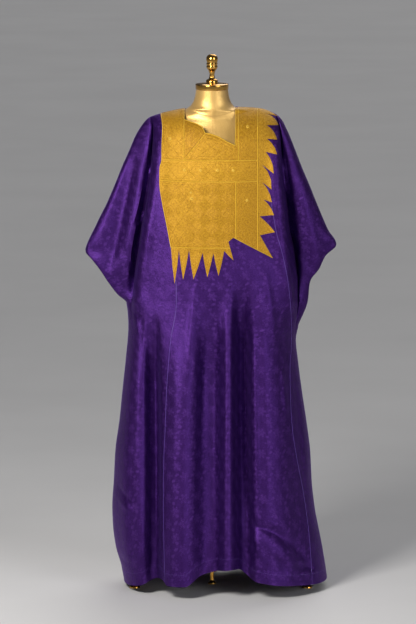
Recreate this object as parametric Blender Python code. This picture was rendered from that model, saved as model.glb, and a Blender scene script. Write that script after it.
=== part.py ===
"""A damask kaftan with a gold embroidered plastron, worn by a limbless dress form on a pole stand.

The cloth is two sheets, front and back, worked out ring by ring from LEVELS and creased by FOLDS, and
split at its seams into panels. The plastron is made from the front sheet's own points, moved out.
Metres, +Z up, the front faces -Y, and the origin is on the floor under the pole.
"""

import math

import bmesh
import bpy
import numpy as np

# Cloth
WALL = 0.0016
SEAM = 0.0003
PLASTRON_WALL = 0.0012
PLASTRON_GAP = 0.0003
FORM_CLEAR = 0.0021
SHOULDER_Z = 1.430
SHOULDER_ROUND = 0.075
SLEEVE_ROUND = 0.012
SLEEVE_LIP = 0.22
SLEEVE_CREST = 0.62
SLEEVE_SWELL = 0.4
RING_POWER = 2.3
FOLD_END_POWER = 8
FOLD_FLATNESS = 2.8

# Stand
POLE_RADIUS = 0.0055
FORM_BOTTOM_Z = 0.745
FOOT_RADIUS = 0.016
FOOT_HEIGHT = 0.006
FOOT_BEVEL = 0.0015
LEG_RADIUS = 0.006
HUB_RADIUS = 0.017
HUB_BOTTOM_Z = 0.205
HUB_HEIGHT = 0.032
HUB_SIDES = 24
LEG_BOW = 0.085
ROUND_SIDES = 28
FORM_SIDES = 32

# One row for each level of the cloth, from the hem up: height, then the left end (x, z), the four valley
# and seam lines across (x), the right end (x, z), the half depths in front and behind, the sleeve's half
# depth, and how far the cuff stands open.
LEVEL_COLUMNS = (
    "level", "left_x", "left_z", "valley_l", "seam_l", "seam_r", "valley_r", "right_x", "right_z",
    "front", "back", "sleeve", "cuff",
)
LEVELS = (
    (0.015, -0.270, 0.014, -0.246, -0.144, 0.306, 0.338, 0.354, 0.024, 0.250, 0.240, 0.000, 0.000),
    (0.060, -0.279, 0.062, -0.254, -0.144, 0.304, 0.334, 0.348, 0.064, 0.249, 0.238, 0.000, 0.000),
    (0.120, -0.296, 0.122, -0.268, -0.145, 0.301, 0.326, 0.339, 0.118, 0.247, 0.236, 0.000, 0.000),
    (0.180, -0.304, 0.185, -0.275, -0.146, 0.296, 0.317, 0.327, 0.178, 0.243, 0.232, 0.000, 0.000),
    (0.240, -0.306, 0.245, -0.277, -0.147, 0.289, 0.307, 0.316, 0.236, 0.239, 0.226, 0.000, 0.000),
    (0.322, -0.301, 0.325, -0.273, -0.147, 0.276, 0.295, 0.306, 0.322, 0.232, 0.217, 0.000, 0.000),
    (0.415, -0.296, 0.419, -0.268, -0.146, 0.258, 0.284, 0.301, 0.417, 0.224, 0.206, 0.000, 0.000),
    (0.510, -0.283, 0.514, -0.256, -0.142, 0.244, 0.271, 0.289, 0.510, 0.214, 0.194, 0.000, 0.000),
    (0.620, -0.272, 0.623, -0.246, -0.138, 0.238, 0.260, 0.273, 0.617, 0.202, 0.181, 0.000, 0.000),
    (0.700, -0.263, 0.705, -0.240, -0.133, 0.237, 0.253, 0.263, 0.695, 0.194, 0.172, 0.000, 0.000),
    (0.800, -0.255, 0.805, -0.238, -0.124, 0.242, 0.250, 0.256, 0.762, 0.184, 0.161, 0.000, 0.000),
    (0.880, -0.261, 0.877, -0.245, -0.112, 0.242, 0.255, 0.264, 0.808, 0.176, 0.153, 0.012, 0.000),
    (0.915, -0.289, 0.905, -0.242, -0.108, 0.238, 0.262, 0.292, 0.880, 0.172, 0.150, 0.024, 0.012),
    (0.950, -0.318, 0.945, -0.238, -0.108, 0.232, 0.262, 0.299, 0.944, 0.169, 0.147, 0.031, 0.020),
    (0.985, -0.342, 0.982, -0.234, -0.112, 0.226, 0.258, 0.327, 0.985, 0.166, 0.145, 0.036, 0.022),
    (1.020, -0.369, 1.016, -0.229, -0.118, 0.218, 0.253, 0.346, 1.024, 0.163, 0.142, 0.038, 0.016),
    (1.045, -0.386, 1.036, -0.225, -0.122, 0.212, 0.249, 0.379, 1.054, 0.161, 0.140, 0.039, 0.000),
    (1.108, -0.354, 1.114, -0.215, -0.133, 0.196, 0.237, 0.353, 1.103, 0.157, 0.136, 0.041, 0.000),
    (1.184, -0.319, 1.185, -0.201, -0.148, 0.182, 0.229, 0.319, 1.182, 0.151, 0.131, 0.041, 0.000),
    (1.240, -0.295, 1.241, -0.192, -0.156, 0.171, 0.221, 0.297, 1.237, 0.145, 0.127, 0.040, 0.000),
    (1.292, -0.272, 1.298, -0.186, -0.158, 0.160, 0.215, 0.276, 1.286, 0.136, 0.121, 0.039, 0.000),
    (1.345, -0.249, 1.350, -0.181, -0.155, 0.156, 0.211, 0.255, 1.340, 0.121, 0.113, 0.037, 0.000),
    (1.388, -0.231, 1.392, -0.178, -0.151, 0.154, 0.208, 0.237, 1.386, 0.102, 0.101, 0.035, 0.000),
    (1.430, -0.213, 1.422, -0.188, -0.154, 0.153, 0.194, 0.215, 1.434, 0.074, 0.076, 0.034, 0.000),
)

# The levels that get a row of points, in front and behind.
ROWS_FRONT = (
    0.015, 0.050, 0.100, 0.170, 0.260, 0.360, 0.460, 0.560, 0.660, 0.750, 0.820, 0.880, 0.915, 0.950,
    0.985, 1.020, 1.045, 1.090, 1.140, 1.190, 1.240, 1.290, 1.330, 1.360, 1.385, 1.404, 1.416, 1.424,
    1.4284, 1.430,
)
ROWS_BACK = (
    0.015, 0.080, 0.180, 0.300, 0.430, 0.560, 0.690, 0.800, 0.880, 0.930, 0.985, 1.045, 1.120, 1.200,
    1.280, 1.340, 1.380, 1.402, 1.415, 1.423, 1.428, 1.430,
)
# The lines across each sheet from left to right, and how many steps lie between a line and the next.
LINES_FRONT = (
    ("left_x", 5), ("valley_l", 1), ("ridge_a", 3), ("trough_b", 2), ("seam_l", 2), ("ridge_d", 4),
    ("trough_e", 4), ("ridge_f", 3), ("trough_g", 4), ("ridge_h", 3), ("seam_r", 3), ("valley_r", 5),
    ("right_x", 0),
)
LINES_BACK = (
    ("left_x", 5), ("valley_l", 1), ("back_a", 2), ("seam_l", 1), ("back_b", 2), ("back_c", 2), ("back_d", 2),
    ("back_e", 2), ("back_f", 2), ("seam_r", 2), ("valley_r", 5), ("right_x", 0),
)

# The shoulder line, as height at a share of the way across from the left corner to the right one.
SHOULDER_LINE = (
    (0.000, 1.422), (0.030, 1.438), (0.054, 1.446), (0.136, 1.458), (0.297, 1.4730), (0.350, 1.4765),
    (0.500, 1.4790), (0.640, 1.4785), (0.667, 1.4775), (0.834, 1.4735), (0.910, 1.4640),
    (0.958, 1.4540), (0.985, 1.4430), (1.000, 1.434),
)
SHOULDER_FADE_Z = 1.290

# The front hem, as height at x. Behind it runs level.
FRONT_HEM = (
    (-0.270, 0.014), (-0.216, 0.030), (-0.180, 0.047), (-0.151, 0.056), (-0.136, 0.042), (-0.080, 0.043),
    (-0.058, 0.056), (-0.038, 0.070), (-0.001, 0.081), (0.023, 0.089), (0.055, 0.095), (0.079, 0.092),
    (0.102, 0.074), (0.126, 0.058), (0.173, 0.048), (0.243, 0.038), (0.313, 0.028), (0.354, 0.024),
)
BACK_HEM = ((-0.270, 0.014), (-0.150, 0.032), (0.050, 0.036), (0.250, 0.034), (0.354, 0.024))
HEM_FADE_Z = 0.420

# Folds, as x at three heights (top, middle, foot), how far the cloth comes out (or goes in, below 0) at
# the middle and at the foot, the half width, and the height over which the fold grows in at its top.
FOLD_COLUMNS = (
    "name", "side", "z_top", "x_top", "z_mid", "x_mid", "z_low", "x_low", "out_mid", "out_low", "width",
    "grow",
)
FOLDS = (
    ("ridge_a", "front", 0.960, -0.226, 0.540, -0.238, 0.030, -0.246, 0.022, 0.014, 0.036, 0.20),
    ("trough_b", "front", 0.860, -0.182, 0.540, -0.179, 0.030, -0.176, -0.050, -0.042, 0.022, 0.22),
    ("ridge_d", "front", 0.900, -0.084, 0.540, -0.094, 0.030, -0.104, 0.024, 0.024, 0.042, 0.30),
    ("trough_e", "front", 0.920, -0.010, 0.540, -0.013, 0.030, -0.010, -0.038, -0.034, 0.037, 0.26),
    ("ridge_f", "front", 0.960, 0.052, 0.540, 0.049, 0.030, 0.046, 0.016, 0.010, 0.018, 0.16),
    ("trough_g", "front", 1.000, 0.090, 0.540, 0.094, 0.030, 0.101, -0.052, -0.046, 0.025, 0.26),
    ("ridge_h", "front", 1.060, 0.160, 0.540, 0.186, 0.030, 0.208, 0.024, 0.016, 0.054, 0.30),
    ("back_a", "back", 1.180, -0.166, 0.540, -0.190, 0.030, -0.205, 0.022, 0.026, 0.032, 0.30),
    ("back_b", "back", 1.120, -0.095, 0.540, -0.112, 0.030, -0.120, -0.034, -0.036, 0.026, 0.30),
    ("back_c", "back", 1.180, -0.030, 0.540, -0.040, 0.030, -0.050, 0.020, 0.024, 0.034, 0.34),
    ("back_d", "back", 1.080, 0.036, 0.540, 0.034, 0.030, 0.036, -0.032, -0.036, 0.026, 0.30),
    ("back_e", "back", 1.180, 0.094, 0.540, 0.110, 0.030, 0.128, 0.022, 0.024, 0.034, 0.34),
    ("back_f", "back", 1.100, 0.150, 0.540, 0.188, 0.030, 0.220, -0.030, -0.034, 0.026, 0.30),
)
# Where the cloth draws in between body and sleeve, its half depth there.
VALLEY_DEPTH = 0.016
SLEEVE_BLEND = (0.965, 0.800)

# The dress form, one ring for each row: height, half widths left and right, half depths in front and
# behind, and the power that rounds the ring (2 is an ellipse). Its right shoulder in the picture is the
# higher one, as the cloth on it shows.
FORM = (
    (0.745, 0.136, 0.136, 0.078, 0.086, 2.2), (0.751, 0.146, 0.146, 0.086, 0.094, 2.2),
    (0.764, 0.153, 0.153, 0.092, 0.101, 2.2), (0.810, 0.163, 0.163, 0.101, 0.111, 2.2),
    (0.860, 0.166, 0.166, 0.104, 0.114, 2.2), (0.920, 0.158, 0.158, 0.099, 0.107, 2.2),
    (0.990, 0.138, 0.138, 0.089, 0.092, 2.2), (1.060, 0.125, 0.125, 0.085, 0.084, 2.2),
    (1.130, 0.134, 0.134, 0.100, 0.090, 2.2), (1.190, 0.146, 0.146, 0.117, 0.099, 2.2),
    (1.240, 0.154, 0.154, 0.123, 0.104, 2.2), (1.290, 0.158, 0.160, 0.117, 0.105, 2.2),
    (1.340, 0.161, 0.165, 0.101, 0.098, 2.2), (1.380, 0.167, 0.174, 0.085, 0.086, 2.1),
    (1.405, 0.172, 0.181, 0.074, 0.075, 2.0), (1.425, 0.175, 0.186, 0.066, 0.068, 1.85),
    (1.438, 0.173, 0.186, 0.062, 0.063, 1.7), (1.449, 0.166, 0.182, 0.059, 0.060, 1.5),
    (1.458, 0.149, 0.174, 0.0585, 0.0595, 1.45), (1.465, 0.118, 0.150, 0.0580, 0.0590, 1.50),
    (1.4705, 0.086, 0.118, 0.0574, 0.0582, 1.78), (1.476, 0.0735, 0.0712, 0.0567, 0.0573, 2.2),
    (1.481, 0.0665, 0.0665, 0.0556, 0.0562, 2.05), (1.487, 0.0618, 0.0618, 0.0541, 0.0546, 2.0),
    (1.495, 0.0570, 0.0570, 0.0525, 0.053, 2.0), (1.509, 0.0522, 0.0522, 0.0508, 0.051, 2.0),
    (1.532, 0.0487, 0.0487, 0.0487, 0.0487, 2.0),
)

# Turned profiles as (radius, height), from the bottom up.
NECK_CAP = ((0.0485, 1.5323), (0.0500, 1.5335), (0.0505, 1.5470), (0.0497, 1.5488), (0.0300, 1.5508))
FINIAL = (
    (0.0180, 1.5512), (0.0180, 1.5590), (0.0160, 1.5620), (0.0100, 1.5645), (0.0080, 1.5700),
    (0.0078, 1.5800), (0.0100, 1.5880), (0.0150, 1.5950), (0.0168, 1.5990), (0.0172, 1.6020),
    (0.0158, 1.6040), (0.0156, 1.6070), (0.0172, 1.6090), (0.0168, 1.6120), (0.0150, 1.6135),
    (0.0172, 1.6190), (0.0177, 1.6240), (0.0168, 1.6300), (0.0138, 1.6350), (0.0085, 1.6388),
)
POLE_FOOT = ((0.0120, 0.0), (0.0120, 0.0040), (0.0075, 0.0070), (POLE_RADIUS, 0.0120))
# Feet of the three legs, as x and y.
FEET = {"foot_right": (-0.245, -0.062), "foot_left": (0.300, -0.062), "foot_back": (0.0, 0.200)}

# Seam lines of the plastron, in x or z, and its left edge as (height, x).
PLASTRON_LEFT = (
    (1.103, -0.1304), (1.139, -0.1374), (1.195, -0.1490), (1.258, -0.1579), (1.300, -0.1579),
    (1.324, -0.1518), (1.370, -0.1509), (1.426, -0.1490), (1.458, -0.1548),
)
PLASTRON_LEFT_FOOT = (1.0670, -0.1240)
STRAP_SEAM_X = -0.0845
NECK_SEAM_X = 0.0795
BAND_SEAM_X = 0.1374
LOWER_SEAM_X = 0.0719
CHEST_TOP_Z = 1.3285
CHEST_LOW_Z = 1.2652
TEETH_SEAM_Z = 1.0670
NECKLINE = (
    (-0.0845, 1.4600), (-0.0832, 1.4458), (-0.0490, 1.4358), (-0.0306, 1.4278), (-0.0214, 1.4095),
    (-0.0031, 1.4066), (0.0214, 1.3980), (0.0444, 1.3847), (0.0698, 1.3726), (0.0719, 1.4245),
)
GUSSET_CORNER = (-0.0200, 1.4088)
NAPE_Z = 1.4740
BACK_NECK_DROP = 0.020
TOP_Z = 1.60
PLASTRON_LOW_Z = 0.90
OUTLINE_SPARE = 0.030

# Teeth down the wearer's left side: notch above the tooth (x, z), its tip (x, z), and how far its upper
# side swells, as a share of its length.
SIDE_TEETH = (
    (0.1500, 1.4740, 0.1989, 1.4513, 0.04), (0.1652, 1.4597, 0.2010, 1.4261, 0.13),
    (0.1652, 1.4292, 0.1965, 1.3861, 0.10), (0.1652, 1.3908, 0.1965, 1.3434, 0.10),
    (0.1622, 1.3522, 0.1864, 1.2873, 0.10), (0.1490, 1.3156, 0.1799, 1.2400, 0.13),
    (0.1506, 1.2628, 0.1808, 1.2018, 0.09), (0.1554, 1.2099, 0.1876, 1.1631, 0.08),
    (0.1432, 1.1601, 0.1906, 1.1112, 0.03), (0.1447, 1.1029, 0.1827, 1.0344, 0.00),
)
INNER_CORNER = (0.0655, 1.0988)
LAST_NOTCH = (0.0493, 1.0861)
# Teeth along the foot, as tip (x, z) and the notch after it (x, z), from the wearer's right.
FOOT_TEETH = (
    (-0.1129, 0.9575, -0.0998, 1.0609), (-0.0872, 0.9709, -0.0692, 1.0618), (-0.0560, 0.9716, -0.0285, 1.0524),
    (-0.0141, 0.9785, 0.0040, 1.0516), (0.0196, 0.9832, 0.0367, 1.0580), (0.0643, 1.0296, 0.0544, 1.0668),
)
FOOT_SWELL = 0.012

# Colours (linear RGB), roughness and metallic value.
MATERIALS = {
    "violet_cloth": ((0.085, 0.026, 0.215), 0.42, 0.0),
    "gold_embroidery": ((0.560, 0.300, 0.030), 0.55, 0.15),
    "form_satin": ((0.620, 0.400, 0.140), 0.35, 0.0),
    "brass": ((0.640, 0.330, 0.060), 0.22, 1.0),
}


def smooth(at, keys, values):
    """Values between a table's rows, by cubic pieces that never pass beyond a row."""
    keys = np.asarray(keys, float)
    values = np.asarray(values, float)
    step = np.diff(keys)
    slope = np.diff(values) / step
    tangent = np.zeros(len(keys))
    before = slope[:-1]
    after = slope[1:]
    same = before * after > 0
    safe_before = np.where(same, before, 1.0)
    safe_after = np.where(same, after, 1.0)
    near = 2 * step[1:] + step[:-1]
    far = step[1:] + 2 * step[:-1]
    tangent[1:-1] = np.where(same, (near + far) / (near / safe_before + far / safe_after), 0.0)
    tangent[0] = slope[0]
    tangent[-1] = slope[-1]
    at = np.clip(at, keys[0], keys[-1])
    i = np.clip(np.searchsorted(keys, at) - 1, 0, len(keys) - 2)
    t = (at - keys[i]) / step[i]
    start = (1 + 2 * t) * (1 - t) ** 2 * values[i] + t * (1 - t) ** 2 * step[i] * tangent[i]
    end = t * t * (3 - 2 * t) * values[i + 1] - t * t * (1 - t) * step[i] * tangent[i + 1]
    return start + end


def ramp(at, start, end):
    """0 at start and beyond it, 1 at end and beyond it, smooth between."""
    t = np.clip((at - start) / (end - start), 0.0, 1.0)
    return t * t * (3 - 2 * t)


def rounded(share):
    """The height of a quarter circle at this share of its width."""
    share = np.clip(share, 0.0, 1.0)
    return np.sqrt(share * (2 - share))


def level_at(level):
    """Every column of LEVELS at these levels, by name."""
    table = np.array(LEVELS)
    return {name: smooth(level, table[:, 0], table[:, i]) for i, name in enumerate(LEVEL_COLUMNS)}


def shoulder_height(share):
    """The shoulder line's height at a share of the way across."""
    table = np.array(SHOULDER_LINE)
    return smooth(share, table[:, 0], table[:, 1])


def form_depth(side, x, z):
    """How far the form reaches to the front or the back at x and z, or less than 0 beside it."""
    rings = np.array(FORM)
    left, right, front, back, power = (np.interp(z, rings[:, 0], rings[:, i]) for i in range(1, 6))
    half = np.where(x < 0, left, right)
    deep = front if side == "front" else back
    share = np.abs(x) / half
    inside = (share < 1) & (z > rings[0, 0]) & (z < rings[-1, 0])
    round_part = np.clip(1 - np.minimum(share, 1) ** power, 0, 1) ** (1 / power)
    return np.where(inside, deep * round_part, -1.0)


def clear_of_form(side, x, z):
    """The least depth that keeps the cloth clear of the form, beside it and above it."""
    beside = form_depth(side, x, z) + FORM_CLEAR
    above = form_depth(side, x, z - FORM_CLEAR) + FORM_CLEAR / 2
    outer = form_depth(side, x * (1 - FORM_CLEAR / 0.2), z - FORM_CLEAR / 2) + FORM_CLEAR
    return np.maximum(np.maximum(beside, above), outer)


def fold_reach(side, x, z):
    """How far the folds bring the cloth out at x and z."""
    total = np.zeros_like(x)
    for row in FOLDS:
        fold = dict(zip(FOLD_COLUMNS, row))
        if fold["side"] != side:
            continue
        keys = (fold["z_low"], fold["z_mid"], fold["z_top"])
        line = smooth(z, keys, (fold["x_low"], fold["x_mid"], fold["x_top"]))
        out = smooth(z, keys, (fold["out_low"], fold["out_mid"], fold["out_mid"]))
        out = out * ramp(z, fold["z_top"], fold["z_top"] - fold["grow"])
        total += out * np.exp(-(np.abs((x - line) / fold["width"]) ** FOLD_FLATNESS))
    return total


def line_stack(side, level):
    """The x of every line across at these levels. A fold's line keeps its share of its panel above its top."""
    at = level_at(level)
    folds = {row[0]: dict(zip(FOLD_COLUMNS, row)) for row in FOLDS}
    stack = []
    for name, _ in LINES_FRONT if side == "front" else LINES_BACK:
        if name not in folds:
            stack.append(at[name])
            continue
        fold = folds[name]
        beside = fold["x_mid"] < level_at(fold["z_mid"])["seam_l"]
        first, last = ("valley_l", "seam_l") if beside else ("seam_l", "seam_r")
        below = np.minimum(level, fold["z_top"])
        there = level_at(below)
        keys = (fold["z_low"], fold["z_mid"], fold["z_top"])
        line = smooth(below, keys, (fold["x_low"], fold["x_mid"], fold["x_top"]))
        share = (line - there[first]) / (there[last] - there[first])
        stack.append(at[first] + share * (at[last] - at[first]))
    return np.stack(stack, axis=-1)


def sheet_grid(side, levels, across):
    """Points of one sheet, a row for each level and a column for each place across the lines (0, 1, 2...)."""
    level = np.asarray(levels, float)[:, None] + 0 * np.asarray(across)[None, :]
    across = np.asarray(across, float)[None, :] + 0 * level
    at = level_at(level)
    stack = line_stack(side, level)
    low = np.clip(np.floor(across).astype(int), 0, stack.shape[-1] - 2)
    part = across - low
    left = np.take_along_axis(stack, low[..., None], -1)[..., 0]
    right = np.take_along_axis(stack, low[..., None] + 1, -1)[..., 0]
    x = left + part * (right - left)

    width = at["right_x"] - at["left_x"]
    share = (x - at["left_x"]) / width
    chord = at["left_z"] + share * (at["right_z"] - at["left_z"])
    top = LEVELS[-1]
    top_chord = top[2] + share * (top[8] - top[2])
    arch = ramp(level, SHOULDER_FADE_Z, SHOULDER_Z) * (shoulder_height(share) - top_chord)
    hem_table = np.array(FRONT_HEM if side == "front" else BACK_HEM)
    low_level = LEVELS[0]
    low_chord = low_level[2] + share * (low_level[8] - low_level[2])
    hem_x = low_level[1] + share * (low_level[7] - low_level[1])
    hem = (smooth(hem_x, hem_table[:, 0], hem_table[:, 1]) - low_chord) * ramp(level, HEM_FADE_Z, LEVELS[0][0])
    z = chord + arch + hem

    deep = at["front"] if side == "front" else at["back"]
    centre = (at["right_x"] + at["left_x"]) / 2
    q = np.abs(x - centre) / (width / 2)
    plain = deep * np.clip(1 - q**RING_POWER, 0, 1) ** (1 / RING_POWER)
    body_centre = (at["valley_l"] + at["valley_r"]) / 2
    body_half = (at["valley_r"] - at["valley_l"]) / 2
    q_body = np.clip(np.abs(x - body_centre) / body_half, 0, 1)
    body = VALLEY_DEPTH + (deep - VALLEY_DEPTH) * (1 - q_body**RING_POWER) ** (1 / RING_POWER)
    edge = np.minimum(x - at["left_x"], at["right_x"] - x)
    near_left = x < centre
    sleeve_width = np.where(near_left, at["valley_l"] - at["left_x"], at["right_x"] - at["valley_r"])
    into = np.clip(edge / np.maximum(sleeve_width, 1e-6), 0, 1)
    sleeve_deep = np.maximum(at["sleeve"], VALLEY_DEPTH)
    slope = np.minimum(into / SLEEVE_CREST, 1.0)
    slope = (1 - SLEEVE_SWELL) * slope + SLEEVE_SWELL * np.sin(slope * math.pi / 2)
    rise = SLEEVE_LIP * rounded(edge / SLEEVE_ROUND) + (1 - SLEEVE_LIP) * slope
    hang = at["cuff"] + (sleeve_deep - at["cuff"]) * rise
    sleeve = hang + (VALLEY_DEPTH - hang) * ramp(into, SLEEVE_CREST, 1.0)
    on_body = (x > at["valley_l"]) & (x < at["valley_r"])
    sleeved = np.where(on_body, body, sleeve)
    joined = ramp(level, *SLEEVE_BLEND)
    depth = plain * joined + sleeved * (1 - joined)
    end_share = np.clip(1 - q**FOLD_END_POWER, 0, 1)
    depth = depth + fold_reach(side, x, z) * end_share
    depth = depth * rounded((SHOULDER_Z - level) / SHOULDER_ROUND)
    depth = np.maximum(depth, clear_of_form(side, x, z))
    sign = -1.0 if side == "front" else 1.0
    shoulder_row = level >= SHOULDER_Z - 1e-9
    depth = np.where(shoulder_row, 0.0, depth)
    return np.stack([x, sign * (depth + SEAM / 2), z], axis=-1)


def across_places(side):
    """Places across, denser toward both outer ends, and the column of each line by name."""
    lines = LINES_FRONT if side == "front" else LINES_BACK
    places = []
    columns = {}
    for k, (name, count) in enumerate(lines):
        columns[name] = len(places)
        share = np.arange(count) / max(count, 1)
        if k == 0:
            share = share**1.7
        if k == len(lines) - 2:
            share = 1 - (1 - share) ** 1.7
        places += list(k + share)
    places.append(len(lines) - 1.0)
    return np.array(places), columns


def grid_normals(side, points, levels):
    """Unit normals of a sheet's points, facing away from the body. Where it is joined at its rim to the other
    sheet, they lie in the plane of the seam."""
    along = np.gradient(points, axis=1)
    down = np.gradient(points, axis=0)
    normal = np.cross(along, down)
    middle = normal[len(levels) // 2, points.shape[1] // 2, 1]
    normal *= np.sign(middle) * (-1.0 if side == "front" else 1.0)
    normal /= np.maximum(np.linalg.norm(normal, axis=-1, keepdims=True), 1e-12)
    levels = np.asarray(levels)
    joined = (levels <= 0.8801) | (levels >= 1.0449)
    for column, outward in ((0, -1.0), (-1, 1.0)):
        line = down[:, column]
        flat = np.stack([line[:, 2], 0 * line[:, 0], -line[:, 0]], axis=-1) * outward
        flat /= np.linalg.norm(flat, axis=-1, keepdims=True)
        normal[joined, column] = flat[joined]
    line = along[-1]
    flat = np.stack([-line[:, 2], 0 * line[:, 0], line[:, 0]], axis=-1)
    flat /= np.linalg.norm(flat, axis=-1, keepdims=True)
    normal[-1, 1:-1] = flat[1:-1]
    for column in (0, -1):
        normal[-1, column] += flat[column]
        normal[-1, column] /= np.linalg.norm(normal[-1, column])
    return normal


def shell_mesh(name, inner, outer, side):
    """A closed shell between two grids of points, every quad split along the same diagonal."""
    rows, columns = inner.shape[:2]
    count = rows * columns
    index = np.arange(count).reshape(rows, columns)
    points = np.concatenate([outer.reshape(-1, 3), inner.reshape(-1, 3)])
    faces = []
    a, b = index[:-1, :-1].ravel(), index[:-1, 1:].ravel()
    c, d = index[1:, 1:].ravel(), index[1:, :-1].ravel()
    for i in range(len(a)):
        faces.append((a[i], b[i], c[i]))
        faces.append((a[i], c[i], d[i]))
        faces.append((a[i] + count, c[i] + count, b[i] + count))
        faces.append((a[i] + count, d[i] + count, c[i] + count))
    rim = np.concatenate([index[0, :], index[1:, -1], index[-1, -2::-1], index[-2:0:-1, 0]])
    following = np.roll(rim, -1)
    for i, j in zip(rim, following):
        faces.append((j, i, i + count))
        faces.append((j, i + count, j + count))
    if side == "back":
        faces = [face[::-1] for face in faces]
    mesh = bpy.data.meshes.new(name)
    mesh.from_pydata(points.tolist(), [], [tuple(int(v) for v in face) for face in faces])
    mesh.update()
    return mesh


def add_object(name, data, material, collection, parent, shade=True):
    """A named object with its material, in the collection and under the root empty."""
    obj = bpy.data.objects.new(name, data)
    collection.objects.link(obj)
    obj.parent = parent
    if material is not None:
        data.materials.append(material)
    if shade and hasattr(data, "polygons"):
        data.polygons.foreach_set("use_smooth", [True] * len(data.polygons))
    return obj


def add_material(name):
    """A Principled material from MATERIALS."""
    colour, roughness, metallic = MATERIALS[name]
    material = bpy.data.materials.new(name)
    material.use_nodes = True
    shader = material.node_tree.nodes["Principled BSDF"]
    shader.inputs["Base Color"].default_value = (*colour, 1.0)
    shader.inputs["Roughness"].default_value = roughness
    shader.inputs["Metallic"].default_value = metallic
    return material


def prism_mesh(name, outline, y_front, y_back):
    """A prism with this outline in X and Z, from y_front to y_back."""
    mesh = bpy.data.meshes.new(name)
    shape = bmesh.new()
    front = [shape.verts.new((x, y_front, z)) for x, z in outline]
    shape.faces.new(front)
    made = bmesh.ops.extrude_face_region(shape, geom=list(shape.faces))
    moved = [v for v in made["geom"] if isinstance(v, bmesh.types.BMVert)]
    bmesh.ops.translate(shape, verts=moved, vec=(0.0, y_back - y_front, 0.0))
    bmesh.ops.recalc_face_normals(shape, faces=list(shape.faces))
    shape.to_mesh(mesh)
    shape.free()
    return mesh


def cut_with(obj, cutter, operation):
    """An exact Boolean of this object with a cutter."""
    modifier = obj.modifiers.new(operation.lower(), "BOOLEAN")
    modifier.operation = operation
    modifier.solver = "EXACT"
    modifier.object = cutter


def turned_mesh(name, profile, sides=ROUND_SIDES):
    """A solid turned about the Z axis from (radius, height) pairs, flat at its foot and closed at its top."""
    points = []
    for radius, z in profile:
        for k in range(sides):
            angle = 2 * math.pi * k / sides
            points.append((radius * math.cos(angle), radius * math.sin(angle), z))
    faces = []
    for ring in range(len(profile) - 1):
        for k in range(sides):
            n = (k + 1) % sides
            low, high = ring * sides, (ring + 1) * sides
            faces.append((low + k, low + n, high + n, high + k))
    faces.append(tuple(range(sides))[::-1])
    faces.append(tuple(range((len(profile) - 1) * sides, len(profile) * sides)))
    mesh = bpy.data.meshes.new(name)
    mesh.from_pydata(points, [], faces)
    mesh.update()
    return mesh


def swollen(start, end, swell, count=3):
    """Points after start up to end, along a line that swells to its left side by a share of its length."""
    across, up = end[0] - start[0], end[1] - start[1]
    line = []
    for k in range(1, count + 1):
        share = k / count
        out = 4 * share * (1 - share) * swell
        line.append((start[0] + across * share - up * out, start[1] + up * share + across * out))
    return line


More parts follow.
